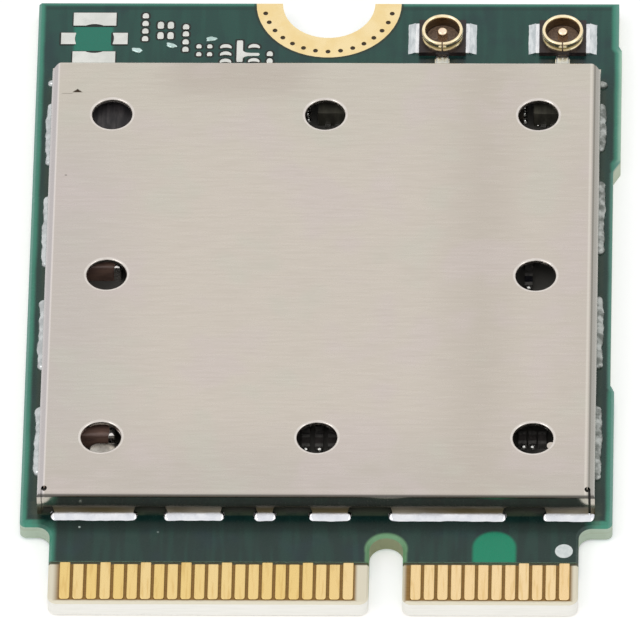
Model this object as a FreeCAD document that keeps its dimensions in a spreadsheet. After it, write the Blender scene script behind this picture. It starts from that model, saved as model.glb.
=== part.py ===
import FreeCAD, Part

import os
import re

import Sketcher

# Laptop wireless card: a 22 x 30 mm board with an edge connector on a keyed tongue at the front,
# a half-round screw notch at the back, two coaxial antenna jacks beside it and a soldered
# sheet metal shield can over the radio parts.
# X points right, Y points to the screw notch and Z up. The origin lies under the board's centre,
# on the underside.

doc = FreeCAD.newDocument("wireless_card")
sheet = doc.addObject("Spreadsheet::Sheet", "Sizes")

sizes = {
    # board; its width and length follow from the contacts, the can and the shelves round it
    "board_thickness": 0.8,
    "foil_thickness": 0.03,
    "front_shelf": 0.58,
    "side_shelf": 0.65,
    "back_margin": 1.0,
    "shoulder_width": 1.13,
    "shoulder_radius": 0.25,
    "root_radius": 0.5,
    # right edge, where the board was snapped out of its panel
    "snap_proud": 0.12,
    "snap_inset": 2.4,
    "snap_length": 5.6,
    "scrape_depth": 0.15,
    "scrape_gap": 0.5,
    "scrape_length": 11.0,
    "edge_slope": 0.25,
    # tongue of the edge connector, with its key notch
    "tongue_length": 3.75,
    "left_margin": 0.62,
    "right_margin": 0.51,
    "nose_radius": 0.35,
    "nose_bevel": 0.1,
    "key_x": 2.63,
    "key_width": 1.25,
    "key_depth": 3.26,
    # contacts
    "contact_pitch": 0.5,
    "contact_width": 0.38,
    "contact_inset": 0.16,
    "contact_length": 1.7,
    "bottom_contact_length": 2.4,
    "right_row_gap": 1.12,
    "left_row_gap": 1.38,
    "right_contacts": 12,
    "left_contacts": 22,
    "bottom_right_contacts": 11,
    "ground_tail": 0.13,
    "ground_step": 3,
    "left_grounds": 8,
    "right_grounds": 2,
    "right_ground_start": 8,
    # printed dot by the first contact
    "mark_radius": 0.33,
    "mark_height": 0.015,
    "mark_side_gap": 0.54,
    "mark_front_gap": 2.56,
    # screw notch and its plated ring
    "screw_radius": 1.75,
    "ring_radius": 2.75,
    "via_radius": 0.1,
    "via_circle_radius": 2.45,
    "via_count": 15,
    "via_spread": 156.4,
    # shield can
    "can_height": 1.2,
    "can_sheet": 0.15,
    "bend_radius": 0.28,
    "corner_cut": 0.43,
    "corner_cut_depth": 0.5,
    "relief_radius": 0.11,
    "relief_inset_x": 0.27,
    "relief_inset_y": 0.24,
    "right_slit": 0.09,
    "left_slit": 0.03,
    "vent_radius": 0.75,
    "vent_side_gap": 2.32,
    "vent_end_gap": 2.77,
    "vent_break": 0.04,
    "burr_radius": 0.16,
    "burr_x": 0.68,
    "burr_y": 0.38,
    # feet of the can with the solder round them, and the windows between them, counted from the
    # left or the front; the one length missing on a wall is what the others leave
    "window_height": 0.42,
    "window_slope": 0.1,
    "foot_inset": 0.2,
    "back_corner_gap": 0.05,
    "front_foot_0": 0.15,
    "front_window_0": 0.32,
    "front_foot_1": 3.27,
    "front_window_1": 0.93,
    "front_foot_2": 2.3,
    "front_window_2": 1.04,
    "front_foot_3": 0.89,
    "front_window_3": 1.15,
    "front_foot_4": 1.64,
    "front_window_4": 1.33,
    "front_window_5": 1.3,
    "front_foot_6": 1.96,
    "back_foot_0": 0.15,
    "back_window_0": 0.32,
    "back_foot_1": 3.27,
    "back_window_1": 0.93,
    "back_foot_2": 2.3,
    "back_window_2": 1.04,
    "back_foot_3": 0.89,
    "back_window_3": 1.15,
    "back_foot_4": 1.64,
    "back_window_4": 1.33,
    "back_window_5": 1.3,
    "back_foot_6": 1.81,
    "left_foot_0": 0.22,
    "left_window_0": 1.6,
    "left_foot_1": 3.41,
    "left_window_1": 1.82,
    "left_foot_2": 3.52,
    "left_window_2": 1.63,
    "left_foot_3": 3.57,
    "left_window_3": 1.56,
    "left_foot_4": 3.15,
    "left_window_4": 0.85,
    "left_foot_5": 0.32,
    "right_foot_0": 0.22,
    "right_window_0": 1.48,
    "right_foot_1": 3.63,
    "right_window_1": 1.89,
    "right_foot_2": 3.59,
    "right_window_2": 2.13,
    "right_foot_3": 3.65,
    "right_window_3": 1.53,
    "right_foot_4": 2.41,
    "right_foot_5": 0.32,
    "solder_spread_front": 0.32,
    "solder_spread_side": 0.23,
    "solder_slant": 0.22,
    "solder_climb": 0.2,
    "solder_waist": 0.09,
    "solder_toe": 0.04,
    # antenna jacks
    "jack_gap": 1.31,
    "jack_inset": 2.12,
    "jack_spacing": 4.55,
    "jack_height": 0.6,
    "jack_ring_radius": 0.76,
    "jack_ring_wall": 0.13,
    "groove_height": 0.36,
    "groove_width": 0.09,
    "groove_depth": 0.05,
    "jack_slit": 0.05,
    "jack_base_width": 1.77,
    "jack_base_length": 1.66,
    "jack_base_height": 0.2,
    "jack_floor_height": 0.12,
    "jack_pin_radius": 0.185,
    "jack_pin_height": 0.42,
    "jack_tail_width": 0.36,
    "jack_tail_thickness": 0.05,
    "jack_tail_gap": 0.02,
    "jack_tail_reach": 0.2,
    "jack_wing_reach": 0.16,
    "jack_wing_length": 1.5,
    "jack_wing_thickness": 0.1,
    "jack_solder_reach": 0.25,
    "signal_land_width": 0.55,
    "signal_land_length": 0.6,
    # bare footprint for a third jack
    "spare_inset": 2.14,
    "spare_land_width": 1.62,
    "spare_land_length": 0.66,
    "spare_land_gap": 0.66,
    "spare_side_width": 0.56,
    "spare_side_length": 0.58,
    "spare_side_gap": 0.7,
    "spare_clearing": 0.74,
    # small bare lands beside the screw notch, in columns counted from the left, each placed from the
    # board's left edge and the can's back wall
    "land_height": 0.03,
    "square_land_width": 0.23,
    "square_land_length": 0.27,
    "tall_land_width": 0.25,
    "tall_land_length": 0.36,
    "small_land_width": 0.2,
    "small_land_length": 0.22,
    "wide_land_width": 0.42,
    "wide_land_length": 0.22,
    "column_0_x": 4.06,
    "column_0_y": 2.13,
    "column_0_pitch": 0.39,
    "column_1_x": 4.64,
    "column_1_y": 2.3,
    "column_1_pitch": 0.53,
    "column_2_x": 5.02,
    "column_2_y": 2.3,
    "column_2_pitch": 0.53,
    "column_3_x": 5.6,
    "column_3_y": 1.59,
    "column_3_pitch": 0.385,
    "column_4_x": 6.11,
    "column_4_y": 1.35,
    "column_4_pitch": 0.4,
    "column_5_x": 6.52,
    "column_5_y": 1.35,
    "column_5_pitch": 0.4,
    "column_6_x": 7.13,
    "column_6_y": 0.98,
    "column_6_pitch": 0.37,
    "column_7_x": 8.2,
    "column_7_y": 1.01,
    "column_7_pitch": 0.72,
    "column_8_x": 8.8,
    "column_8_y": 1.01,
    "column_8_pitch": 0.36,
    "bar_x": 7.66,
    "bar_y": 1.53,
    "bar_width": 0.24,
    "bar_length": 1.1,
    "branch_y": 1.35,
    "branch_width": 0.64,
    "branch_length": 0.16,
    "blob_width": 0.36,
    "blob_length": 0.2,
    "blob_height": 0.06,
    "blob_0_x": 3.77,
    "blob_0_y": 1.55,
    "blob_1_x": 5.06,
    "blob_1_y": 1.8,
    "blob_2_x": 6.57,
    "blob_2_y": 2.13,
    # chips under the can
    "chip_height": 0.75,
    "radio_width": 9.0,
    "radio_x": 0.3,
    "radio_rise": 0.42,
    "power_width": 3.0,
    "power_side_gap": 0.75,
    "power_back_gap": 0.63,
    "memory_width": 2.0,
    "memory_length": 3.0,
    "memory_height": 0.6,
    "memory_gap": 0.8,
    "memory_drop": 4.2,
    "front_end_width": 2.0,
    "front_end_length": 1.9,
    "front_end_height": 0.7,
    "front_end_side_gap": 0.51,
    "front_end_back_gap": 0.36,
    "aux_front_end_x": 0.71,
    "filter_width": 1.25,
    "filter_length": 1.1,
    "filter_height": 0.5,
    "main_filter_gap": 0.385,
    "aux_filter_gap": 0.455,
    "filter_back_gap": 1.22,
    "pad_pitch": 0.36,
    "pad_width": 0.2,
    "pad_reach": 0.14,
    "pad_height": 0.1,
    "crystal_width": 2.0,
    "crystal_length": 1.6,
    "crystal_side_gap": 1.75,
    "crystal_front_gap": 1.37,
    "crystal_tray_height": 0.35,
    "crystal_lid_height": 0.25,
    "crystal_lid_inset": 0.12,
    "crystal_corner": 0.3,
    "coil_width": 1.8,
    "coil_length": 1.6,
    "coil_height": 0.9,
    "coil_gap": 0.2,
    "coil_back_gap": 1.0,
    "coil_pitch": 2.2,
    # chip capacitors and resistors
    "large_length": 1.6,
    "large_width": 0.8,
    "large_end": 0.28,
    "large_side_gap": 1.23,
    "large_crystal_gap": 0.22,
    "large_rise": 1.11,
    "large_pitch": 1.5,
    "small_length": 0.6,
    "small_width": 0.3,
    "small_end": 0.15,
    "radio_clearance": 0.2,
    "radio_left_clearance": 0.7,
    "row_pitch": 0.8,
    "left_row_drop": 3.8,
    "right_row_rise": 0.6,
    "back_row_shift": 3.0,
    "front_row_x": -0.93,
    "front_row_inset": 3.4,
    "front_row_step": 0.85,
    "front_row_pitch": 0.49,
    "corner_row_side_gap": 2.73,
    "corner_row_inset": 3.57,
    "corner_row_pitch": 0.37,
    "side_row_side_gap": 2.6,
    "side_row_rise": 0.62,
    "side_row_pitch": 1.0,
    # how far a cut passes through what it cuts
    "cut_margin": 0.3,
}

# feet along each wall, by the number of its last one; foot 0 is the bare post at the corner
foot_counts = {side: 1 + max(int(name.split("_")[-1]) for name in sizes if name.startswith(side + "_foot_"))
               for side in ("front", "back", "left", "right")}

# lengths and places that follow from the sizes
derived = {
    "right_row_x": "key_x + right_row_gap",
    "left_row_x": "key_x - left_row_gap",
    "tongue_right": "right_row_x + (right_contacts - 1) * contact_pitch + right_margin",
    "tongue_left": "(left_contacts - 1) * contact_pitch - left_row_x + left_margin",
    "half_width": "tongue_left + shoulder_width",
    "half_can_width": "half_width - side_shelf",
    "back_shelf": "jack_gap + jack_base_length + back_margin",
    "half_length": "(tongue_length + front_shelf + can_length + back_shelf) / 2",
    "shoulder_y": "tongue_length - half_length",
    "can_front": "tongue_length + front_shelf - half_length",
    "can_back": "half_length - back_shelf",
    "can_middle": "(can_front + can_back) / 2",
    "snap_back": "half_length - snap_inset",
    "snap_front": "snap_back - snap_length",
    "scrape_back": "snap_front - scrape_gap",
    "scrape_front": "scrape_back - scrape_length",
    "vent_x": "half_can_width - vent_side_gap",
    "vent_y": "can_length / 2 - vent_end_gap",
    "jack_y": "can_back + jack_gap + jack_base_length / 2",
    "aux_jack_x": "half_width - jack_inset",
    "main_jack_x": "aux_jack_x - jack_spacing",
    "spare_x": "spare_inset - half_width",
    "wing_start": "jack_ring_radius - jack_ring_wall / 2",
    "wing_end": "jack_base_width / 2 + jack_wing_reach",
    "seat_height": "jack_tail_thickness + jack_tail_gap",
    "tail_length": "jack_base_length / 2 + jack_tail_reach",
    "radio_y": "can_middle + radio_rise",
    "radio_right": "radio_x + radio_width / 2",
    "power_x": "power_side_gap + power_width / 2 - half_can_width",
    "power_y": "can_back - power_back_gap - power_width / 2",
    "memory_x": "radio_right + memory_gap + memory_width / 2",
    "memory_y": "radio_y - memory_drop",
    "main_front_end_x": "half_can_width - front_end_side_gap - front_end_width / 2",
    "front_end_y": "can_back - front_end_back_gap - front_end_length / 2",
    "main_filter_x": "main_front_end_x - front_end_width / 2 - main_filter_gap - filter_width / 2",
    "aux_filter_x": "aux_front_end_x - front_end_width / 2 - aux_filter_gap - filter_width / 2",
    "filter_y": "can_back - filter_back_gap - filter_length / 2",
    "crystal_x": "crystal_side_gap + crystal_width / 2 - half_can_width",
    "crystal_y": "can_front + crystal_front_gap + crystal_length / 2",
    "coil_x": "power_x + power_width / 2 + coil_gap + coil_width / 2",
    "coil_y": "can_back - coil_back_gap - coil_length / 2",
    "large_x": "large_side_gap + large_length / 2 - half_can_width",
    "large_front_y": "crystal_y + crystal_length / 2 + large_crystal_gap + large_width / 2",
    "large_middle_y": "can_middle + large_rise",
}

# kinds of land in each column, and how many
land_columns = (("square", 4), ("tall", 2), ("tall", 2), ("square", 4), ("small", 2), ("small", 2), ("wide", 3),
                ("wide", 2), ("square", 2))

# rows of small parts: kind, place of the first, step along x and y, count, and whether it lies along Y
small_rows = (
    ("capacitor", "front_row_x", "can_front + front_row_inset", "front_row_pitch", "0", 4, True),
    ("resistor", "front_row_x", "can_front + front_row_inset + front_row_step", "front_row_pitch", "0", 4, True),
    ("capacitor", "half_can_width - corner_row_side_gap", "can_front + corner_row_inset", "corner_row_pitch", "0",
     3, True),
    ("resistor", "half_can_width - side_row_side_gap", "can_middle + side_row_rise", "0", "side_row_pitch", 3, True),
    ("capacitor", "radio_x - radio_width / 2 - radio_left_clearance - small_length / 2", "radio_y - left_row_drop",
     "0", "row_pitch", 9, False),
    ("resistor", "radio_right + radio_clearance + small_length / 2", "radio_y + right_row_rise", "0", "row_pitch",
     6, False),
    ("capacitor", "radio_x - back_row_shift", "radio_y + radio_width / 2 + radio_clearance + small_length / 2",
     "row_pitch", "0", 8, True))


def chain(side):
    """Names of a wall's feet and windows in turn."""
    return ["%s_%s_%d" % (side, ("foot", "window")[number % 2], number // 2)
            for number in range(2 * foot_counts[side] - 1)]


derived["can_length"] = " + ".join(chain("left")) + " + back_corner_gap"


def foot_spans(side):
    """Start and end of each foot, added up from the wall's two ends to the length that isn't given."""
    low = "-half_can_width" if side in ("front", "back") else "can_front"
    high = {"front": "half_can_width", "back": "half_can_width - can_sheet"}.get(side, "can_back - back_corner_gap")
    names = chain(side)
    missing = [number for number, name in enumerate(names) if name not in sizes]
    split = missing[0] if missing else len(names)
    marks, ends = [low], [high]
    for name in names[:split]:
        marks.append(marks[-1] + " + " + name)
    for name in reversed(names[split + 1:]):
        ends.append(ends[-1] + " - " + name)
    if missing:
        marks += reversed(ends)
    return [(marks[2 * number], marks[2 * number + 1]) for number in range(foot_counts[side])]


def cells(text):
    """An expression in which each derived name is written out and each size reads its cell."""
    def read(word):
        name = word.group(0)
        if name in derived:
            return "(" + cells(derived[name]) + ")"
        return "Sizes." + name if name in sizes else name
    return re.sub(r"[a-z][a-z_0-9]*", read, text)


def bind(thing, path, text):
    thing.setExpression(path, cells(text))


def fill_sheet():
    """Writes each size and its alias on a row of its own."""
    for row, (name, value) in enumerate(sizes.items(), start=1):
        sheet.set("A%d" % row, name)
        sheet.set("B%d" % row, str(value))
        sheet.setAlias("B%d" % row, name)
    doc.recompute()


def new_body(label):
    body = doc.addObject("PartDesign::Body", "Body_" + label)
    body.Label = label
    return body


def origin_part(body, role):
    return [feature for feature in body.Origin.OriginFeatures if feature.Role == role][0]


def new_sketch(body, name, role, x="0", y="0", z="0"):
    """A sketch on one of the body's own planes, moved by x, y and z in that plane's own directions."""
    sketch = body.newObject("Sketcher::SketchObject", body.Label + "_" + name)
    sketch.AttachmentSupport = (origin_part(body, role), [""])
    sketch.MapMode = "FlatFace"
    for axis, text in (("x", x), ("y", y), ("z", z)):
        if text != "0":
            bind(sketch, "AttachmentOffset.Base." + axis, text)
    return sketch


def pin_point(sketch, geometry, position, x, y):
    """Holds a point at x and y from the sketch's origin."""
    for kind, text in (("DistanceX", x), ("DistanceY", y)):
        number = sketch.addConstraint(Sketcher.Constraint(kind, -1, 1, geometry, position, 1.0))
        bind(sketch, "Constraints[%d]" % number, text)


def add_polygon(sketch, corners):
    """A closed run of straight edges through the corners, each given as two expressions."""
    first = sketch.GeometryCount
    count = len(corners)
    for number in range(count):
        start = FreeCAD.Vector(number, number * number, 0)
        end = FreeCAD.Vector(number + 1, (number + 1) ** 2, 0)
        if number == count - 1:
            end = FreeCAD.Vector(0, 0, 0)
        sketch.addGeometry(Part.LineSegment(start, end), False)
    for number in range(count):
        following = first + (number + 1) % count
        sketch.addConstraint(Sketcher.Constraint("Coincident", first + number, 2, following, 1))
    for number, (x, y) in enumerate(corners):
        pin_point(sketch, first + number, 1, x, y)


def add_rectangle(sketch, x, y, width, length):
    """A rectangle centred on x and y."""
    low_x, high_x = "%s - (%s) / 2" % (x, width), "%s + (%s) / 2" % (x, width)
    low_y, high_y = "%s - (%s) / 2" % (y, length), "%s + (%s) / 2" % (y, length)
    add_polygon(sketch, ((low_x, low_y), (high_x, low_y), (high_x, high_y), (low_x, high_y)))


def add_circle(sketch, x, y, radius):
    number = sketch.addGeometry(Part.Circle(FreeCAD.Vector(0, 0, 0), FreeCAD.Vector(0, 0, 1), 1.0), False)
    pin_point(sketch, number, 3, x, y)
    constraint = sketch.addConstraint(Sketcher.Constraint("Radius", number, 1.0))
    bind(sketch, "Constraints[%d]" % constraint, radius)


def pad(body, sketch, length, midplane=False, down=False):
    feature = body.newObject("PartDesign::Pad", sketch.Name + "_pad")
    feature.Profile = sketch
    bind(feature, "Length", length)
    feature.Midplane = midplane
    feature.Reversed = down
    return feature


def pocket(body, sketch, length=None, up=False):
    """Cuts against the sketch's normal, or along it where up is set; through everything without a length."""
    feature = body.newObject("PartDesign::Pocket", sketch.Name + "_cut")
    feature.Profile = sketch
    if length is None:
        feature.Type = "ThroughAll"
    else:
        bind(feature, "Length", length)
    feature.Reversed = up
    return feature


def line_pattern(body, feature, role, length, count, backwards=False):
    """Repeats a feature along one of the body's axes, over a length from first to last."""
    pattern = body.newObject("PartDesign::LinearPattern", feature.Name + "_row")
    pattern.Originals = [feature]
    pattern.Direction = (origin_part(body, role), [""])
    pattern.Reversed = backwards
    bind(pattern, "Length", length)
    bind(pattern, "Occurrences", count)
    body.Tip = pattern
    return pattern


def edges_at(feature, test):
    """Names of the edges whose middle point passes the test."""
    return ["Edge%d" % (number + 1) for number, edge in enumerate(feature.Shape.Edges)
            if test(edge.valueAt((edge.FirstParameter + edge.LastParameter) / 2))]


def close(first, second):
    return abs(first - second) < 0.001


def round_upright(body, base, places, radius):
    """Rounds the upright edges that stand at the given places."""
    doc.recompute()
    middle = base.Shape.BoundBox.Center.z

    def chosen(point):
        return close(point.z, middle) and any(close(point.x, x) and close(point.y, y) for x, y in places)

    feature = body.newObject("PartDesign::Fillet", base.Name + "_" + radius)
    feature.Base = (base, edges_at(base, chosen))
    bind(feature, "Radius", radius)
    return feature


def block(name, x, y, z, width, length, height):
    """A plain block centred on x and y, standing on z."""
    box = doc.addObject("Part::Box", name)
    bind(box, "Length", width)
    bind(box, "Width", length)
    bind(box, "Height", height)
    bind(box, "Placement.Base.x", "%s - (%s) / 2" % (x, width))
    bind(box, "Placement.Base.y", "%s - (%s) / 2" % (y, length))
    bind(box, "Placement.Base.z", z)
    return box


def group(label, members):
    """One node that holds several separate solids."""
    compound = doc.addObject("Part::Compound", "Group_" + label)
    compound.Links = members
    compound.Label = label
    return compound


def make_circuit_board():
    """The laminate with its solder mask: outline, tongue, notches, and the steps that hold the plated foil."""
    body = new_body("circuit_board")
    outline = new_sketch(body, "outline", "XY_Plane")
    add_polygon(outline, (
        ("-half_width", "half_length"), ("-half_width", "shoulder_y"),
        ("-tongue_left", "shoulder_y"), ("-tongue_left", "-half_length"),
        ("tongue_right", "-half_length"), ("tongue_right", "shoulder_y"),
        ("half_width", "shoulder_y"), ("half_width", "scrape_front"),
        ("half_width - scrape_depth", "scrape_front + edge_slope"), ("half_width - scrape_depth", "scrape_back"),
        ("half_width + snap_proud", "snap_front"), ("half_width + snap_proud", "snap_back"),
        ("half_width", "snap_back + edge_slope"), ("half_width", "half_length")))
    slab = pad(body, outline, "board_thickness")

    notch = new_sketch(body, "screw_notch", "XY_Plane", z="board_thickness")
    add_circle(notch, "0", "half_length", "screw_radius")
    pocket(body, notch)
    key = new_sketch(body, "key_notch", "XY_Plane", z="board_thickness")
    key_top = "key_depth - key_width / 2 - half_length"
    add_rectangle(key, "key_x", key_top + " - key_depth / 2", "key_width", "key_depth")
    pocket(body, key)
    key_end = new_sketch(body, "key_end", "XY_Plane", z="board_thickness")
    add_circle(key_end, "key_x", key_top, "key_width / 2")
    notched = pocket(body, key_end)

    doc.recompute()
    corners = [(vertex.X, vertex.Y) for vertex in slab.Shape.Vertexes if close(vertex.Z, 0)]
    front, left = min(y for x, y in corners), min(x for x, y in corners)
    shoulder = min(y for x, y in corners if close(x, left))
    in_line = sorted(x for x, y in corners if close(y, shoulder))
    roots = round_upright(body, notched, [(x, shoulder) for x in in_line[1:-1]], "root_radius")
    shoulders = round_upright(body, roots, [(x, shoulder) for x in (in_line[0], in_line[-1])], "shoulder_radius")
    doc.recompute()
    tips = {vertex.X for vertex in shoulders.Shape.Vertexes if close(vertex.Y, front)}
    noses = round_upright(body, shoulders, [(x, front) for x in tips], "nose_radius")
    doc.recompute()
    box = noses.Shape.BoundBox
    bevel = body.newObject("PartDesign::Chamfer", "front_bevel")
    bevel.Base = (noses, edges_at(noses, lambda point: close(point.y, front) and not close(point.z, box.Center.z)))
    bind(bevel, "Size", "nose_bevel")

    for face, height, length, up in (("top", "board_thickness", "contact_length", False),
                                     ("bottom", "0", "bottom_contact_length", True)):
        step = new_sketch(body, face + "_contact_step", "XY_Plane", z=height)
        step_length = "(%s + contact_inset + ground_tail + foil_thickness / 2)" % length
        add_rectangle(step, "0", "%s / 2 - half_length" % step_length, "2 * half_width", step_length)
        pocket(body, step, "foil_thickness", up)
        ring = new_sketch(body, face + "_ring_step", "XY_Plane", z=height)
        add_circle(ring, "0", "half_length", "ring_radius")
        pocket(body, ring, "foil_thickness", up)


def add_ground_tails(body):
    """Lengthens every third contact on the top by a tail, which marks the grounds."""
    tail_y = "contact_inset + contact_length + ground_tail / 2 - half_length"
    for name, x, count, backwards in (
            ("left", "left_row_x", "left_grounds", True),
            ("right", "right_row_x + right_ground_start * contact_pitch", "right_grounds", False)):
        tail = new_sketch(body, name + "_tail", "XY_Plane", z="board_thickness")
        add_rectangle(tail, x, tail_y, "contact_width", "ground_tail")
        feature = pad(body, tail, "foil_thickness", down=True)
        line_pattern(body, feature, "X_Axis", "ground_step * contact_pitch * (%s - 1)" % count, count, backwards)


def make_contacts(face, height, down, length, shift, right_count):
    """One row of gold contacts each side of the key notch, counted away from it."""
    body = new_body(face + "_edge_contacts")
    y = "contact_inset + %s / 2 - half_length" % length
    for name, count, backwards in (("right", right_count, False), ("left", "left_contacts", True)):
        sketch = new_sketch(body, name + "_contact", "XY_Plane", z=height)
        add_rectangle(sketch, "%s_row_x + %s" % (name, shift), y, "contact_width", length)
        feature = pad(body, sketch, "foil_thickness", down=down)
        line_pattern(body, feature, "X_Axis", "contact_pitch * (%s - 1)" % count, count, backwards)
    return body


def make_ring(face, height, down):
    """The plated half ring round the screw notch, with its arc of small plated holes."""
    body = new_body(face + "_screw_ring")
    annulus = new_sketch(body, "annulus", "XY_Plane", y="half_length", z=height)
    add_circle(annulus, "0", "0", "ring_radius")
    add_circle(annulus, "0", "0", "screw_radius")
    pad(body, annulus, "foil_thickness", down=down)
    outside = new_sketch(body, "outside", "XY_Plane", y="half_length", z=height)
    add_rectangle(outside, "0", "ring_radius", "4 * ring_radius", "2 * ring_radius")
    pocket(body, outside, "foil_thickness", up=not down)
    via = new_sketch(body, "via", "XY_Plane", y="half_length", z=height)
    angle = "(270 - via_spread / 2)"
    sides = 8
    add_polygon(via, [("via_circle_radius * cos(%s) + via_radius * cos(%d)" % (angle, 360 * side / sides),
                       "via_circle_radius * sin(%s) + via_radius * sin(%d)" % (angle, 360 * side / sides))
                      for side in range(sides)])
    hole = pocket(body, via, "foil_thickness", up=not down)
    vias = body.newObject("PartDesign::PolarPattern", face + "_vias")
    vias.Originals = [hole]
    vias.Axis = (via, ["N_Axis"])
    bind(vias, "Angle", "via_spread")
    bind(vias, "Occurrences", "via_count")
    body.Tip = vias


def wall_sketch(body, side, name):
    """A sketch that stands a little in front of one wall of the can, so that a cut from it passes through."""
    role = "XZ_Plane" if side in ("front", "back") else "YZ_Plane"
    place = {"front": "cut_margin - can_front", "back": "can_sheet + cut_margin - can_back",
             "left": "can_sheet + cut_margin - half_can_width", "right": "half_can_width + cut_margin"}[side]
    return new_sketch(body, side + name, role, z=place)


def make_shield_can():
    """One folded sheet: lid, four walls with windows between the feet, vents, relief holes and corner cuts."""
    body = new_body("shield_can")
    lid_z = "board_thickness + can_height"
    outline = new_sketch(body, "outline", "XY_Plane", z="board_thickness")
    add_rectangle(outline, "0", "can_middle", "2 * half_can_width", "can_length")
    blank = pad(body, outline, "can_height")
    doc.recompute()
    top = blank.Shape.BoundBox.ZMax
    bend = body.newObject("PartDesign::Fillet", "can_bends")
    bend.Base = (blank, edges_at(blank, lambda point: close(point.z, top)))
    bind(bend, "Radius", "bend_radius")
    doc.recompute()
    lowest = min(range(len(bend.Shape.Faces)), key=lambda number: bend.Shape.Faces[number].CenterOfMass.z)
    shell = body.newObject("PartDesign::Thickness", "can_shell")
    shell.Base = (bend, ["Face%d" % (lowest + 1)])
    bind(shell, "Value", "can_sheet")
    shell.Reversed = True

    vents = new_sketch(body, "vents", "XY_Plane", y="can_middle", z=lid_z)
    for column in (-1, 0, 1):
        for row in (-1, 0, 1):
            if column or row:
                add_circle(vents, "%d * vent_x" % column, "%d * vent_y" % row, "vent_radius")
    vent_cut = pocket(body, vents, "2 * can_sheet")
    doc.recompute()
    rims = ["Edge%d" % (number + 1) for number, edge in enumerate(vent_cut.Shape.Edges)
            if close(getattr(edge.Curve, "Radius", 0), float(sheet.get("vent_radius")))
            and close(edge.BoundBox.ZMax, top)]
    rim_break = body.newObject("PartDesign::Chamfer", "vent_rims")
    rim_break.Base = (vent_cut, rims)
    bind(rim_break, "Size", "vent_break")
    burr = new_sketch(body, "burr", "XY_Plane", y="can_middle", z=lid_z)
    add_circle(burr, "vent_x + burr_x", "-vent_y - burr_y", "burr_radius")
    pad(body, burr, "can_sheet", down=True)

    below, sill, head = "board_thickness - cut_margin", "board_thickness", "board_thickness + window_height"
    for side, count in foot_counts.items():
        spans = foot_spans(side)
        cut = wall_sketch(body, side, "_windows")
        for number in range(count - 1):
            start, end = spans[number][1], spans[number + 1][0]
            if number > 0:
                start += " - foot_inset"
            if number + 2 < count or side in ("front", "back"):
                end += " + foot_inset"
            add_polygon(cut, ((start, below), (end, below), (end, sill), (end + " - window_slope", head),
                              (start + " + window_slope", head), (start, sill)))
        pocket(body, cut, "can_sheet + 2 * cut_margin")

    reliefs = new_sketch(body, "reliefs", "XY_Plane", z=lid_z)
    slits = new_sketch(body, "slits", "XY_Plane", z=lid_z)
    cuts = new_sketch(body, "corner_cuts", "XY_Plane", z=lid_z)
    for sign, slit in (("-", "left_slit"), ("", "right_slit")):
        add_circle(reliefs, sign + "(half_can_width - relief_inset_x)", "can_front + relief_inset_y",
                   "relief_radius")
        for end in ("can_front", "can_back"):
            add_rectangle(slits, "%s(half_can_width - can_sheet - %s / 2)" % (sign, slit), end, slit,
                          "2 * relief_inset_y")
        add_polygon(cuts, ((sign + "half_can_width", "can_back"),
                           (sign + "(half_can_width - corner_cut)", "can_back"),
                           (sign + "half_can_width", "can_back - corner_cut")))
    pocket(body, reliefs, "can_height / 2")
    pocket(body, slits, "can_height")
    pocket(body, cuts, "corner_cut_depth")


def make_can_solder():
    """A solder fillet along each soldered foot of the four walls, its ends slanted in plan."""
    body = new_body("can_solder")
    low = "board_thickness"
    for side, count in foot_counts.items():
        across = side in ("front", "back")
        sign = "-" if side in ("front", "left") else "+"
        wall = {"front": "can_front", "back": "can_back", "left": "-half_can_width",
                "right": "half_can_width"}[side]
        spread = "solder_spread_front" if across else "solder_spread_side"
        outer = "%s %s %s" % (wall, sign, spread)
        spans = foot_spans(side)[1:]
        for number, (start, end) in enumerate(spans):
            centre = "(%s + %s) / 2" % (start, end)
            profile = new_sketch(body, "%s_%d" % (side, number), "YZ_Plane" if across else "XZ_Plane",
                                 z=centre if across else "-" + centre)
            add_polygon(profile, ((wall, low), (outer, low), (outer, low + " + solder_toe"),
                                  ("%s %s %s / 2.5" % (wall, sign, spread), low + " + solder_waist"),
                                  (wall, low + " + solder_climb")))
            pad(body, profile, "%s - (%s)" % (end, start), midplane=True)
        slants = new_sketch(body, side + "_slants", "XY_Plane", z="board_thickness + can_height")
        for start, end in spans:
            for tip, inward in ((start, "+"), (end, "-")):
                corners = ((tip, outer), ("%s %s solder_slant" % (tip, inward), outer),
                           (tip, "%s - (%s solder_slant)" % (outer, sign)))
                add_polygon(slants, corners if across else [(second, first) for first, second in corners])
        pocket(body, slants)


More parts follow.
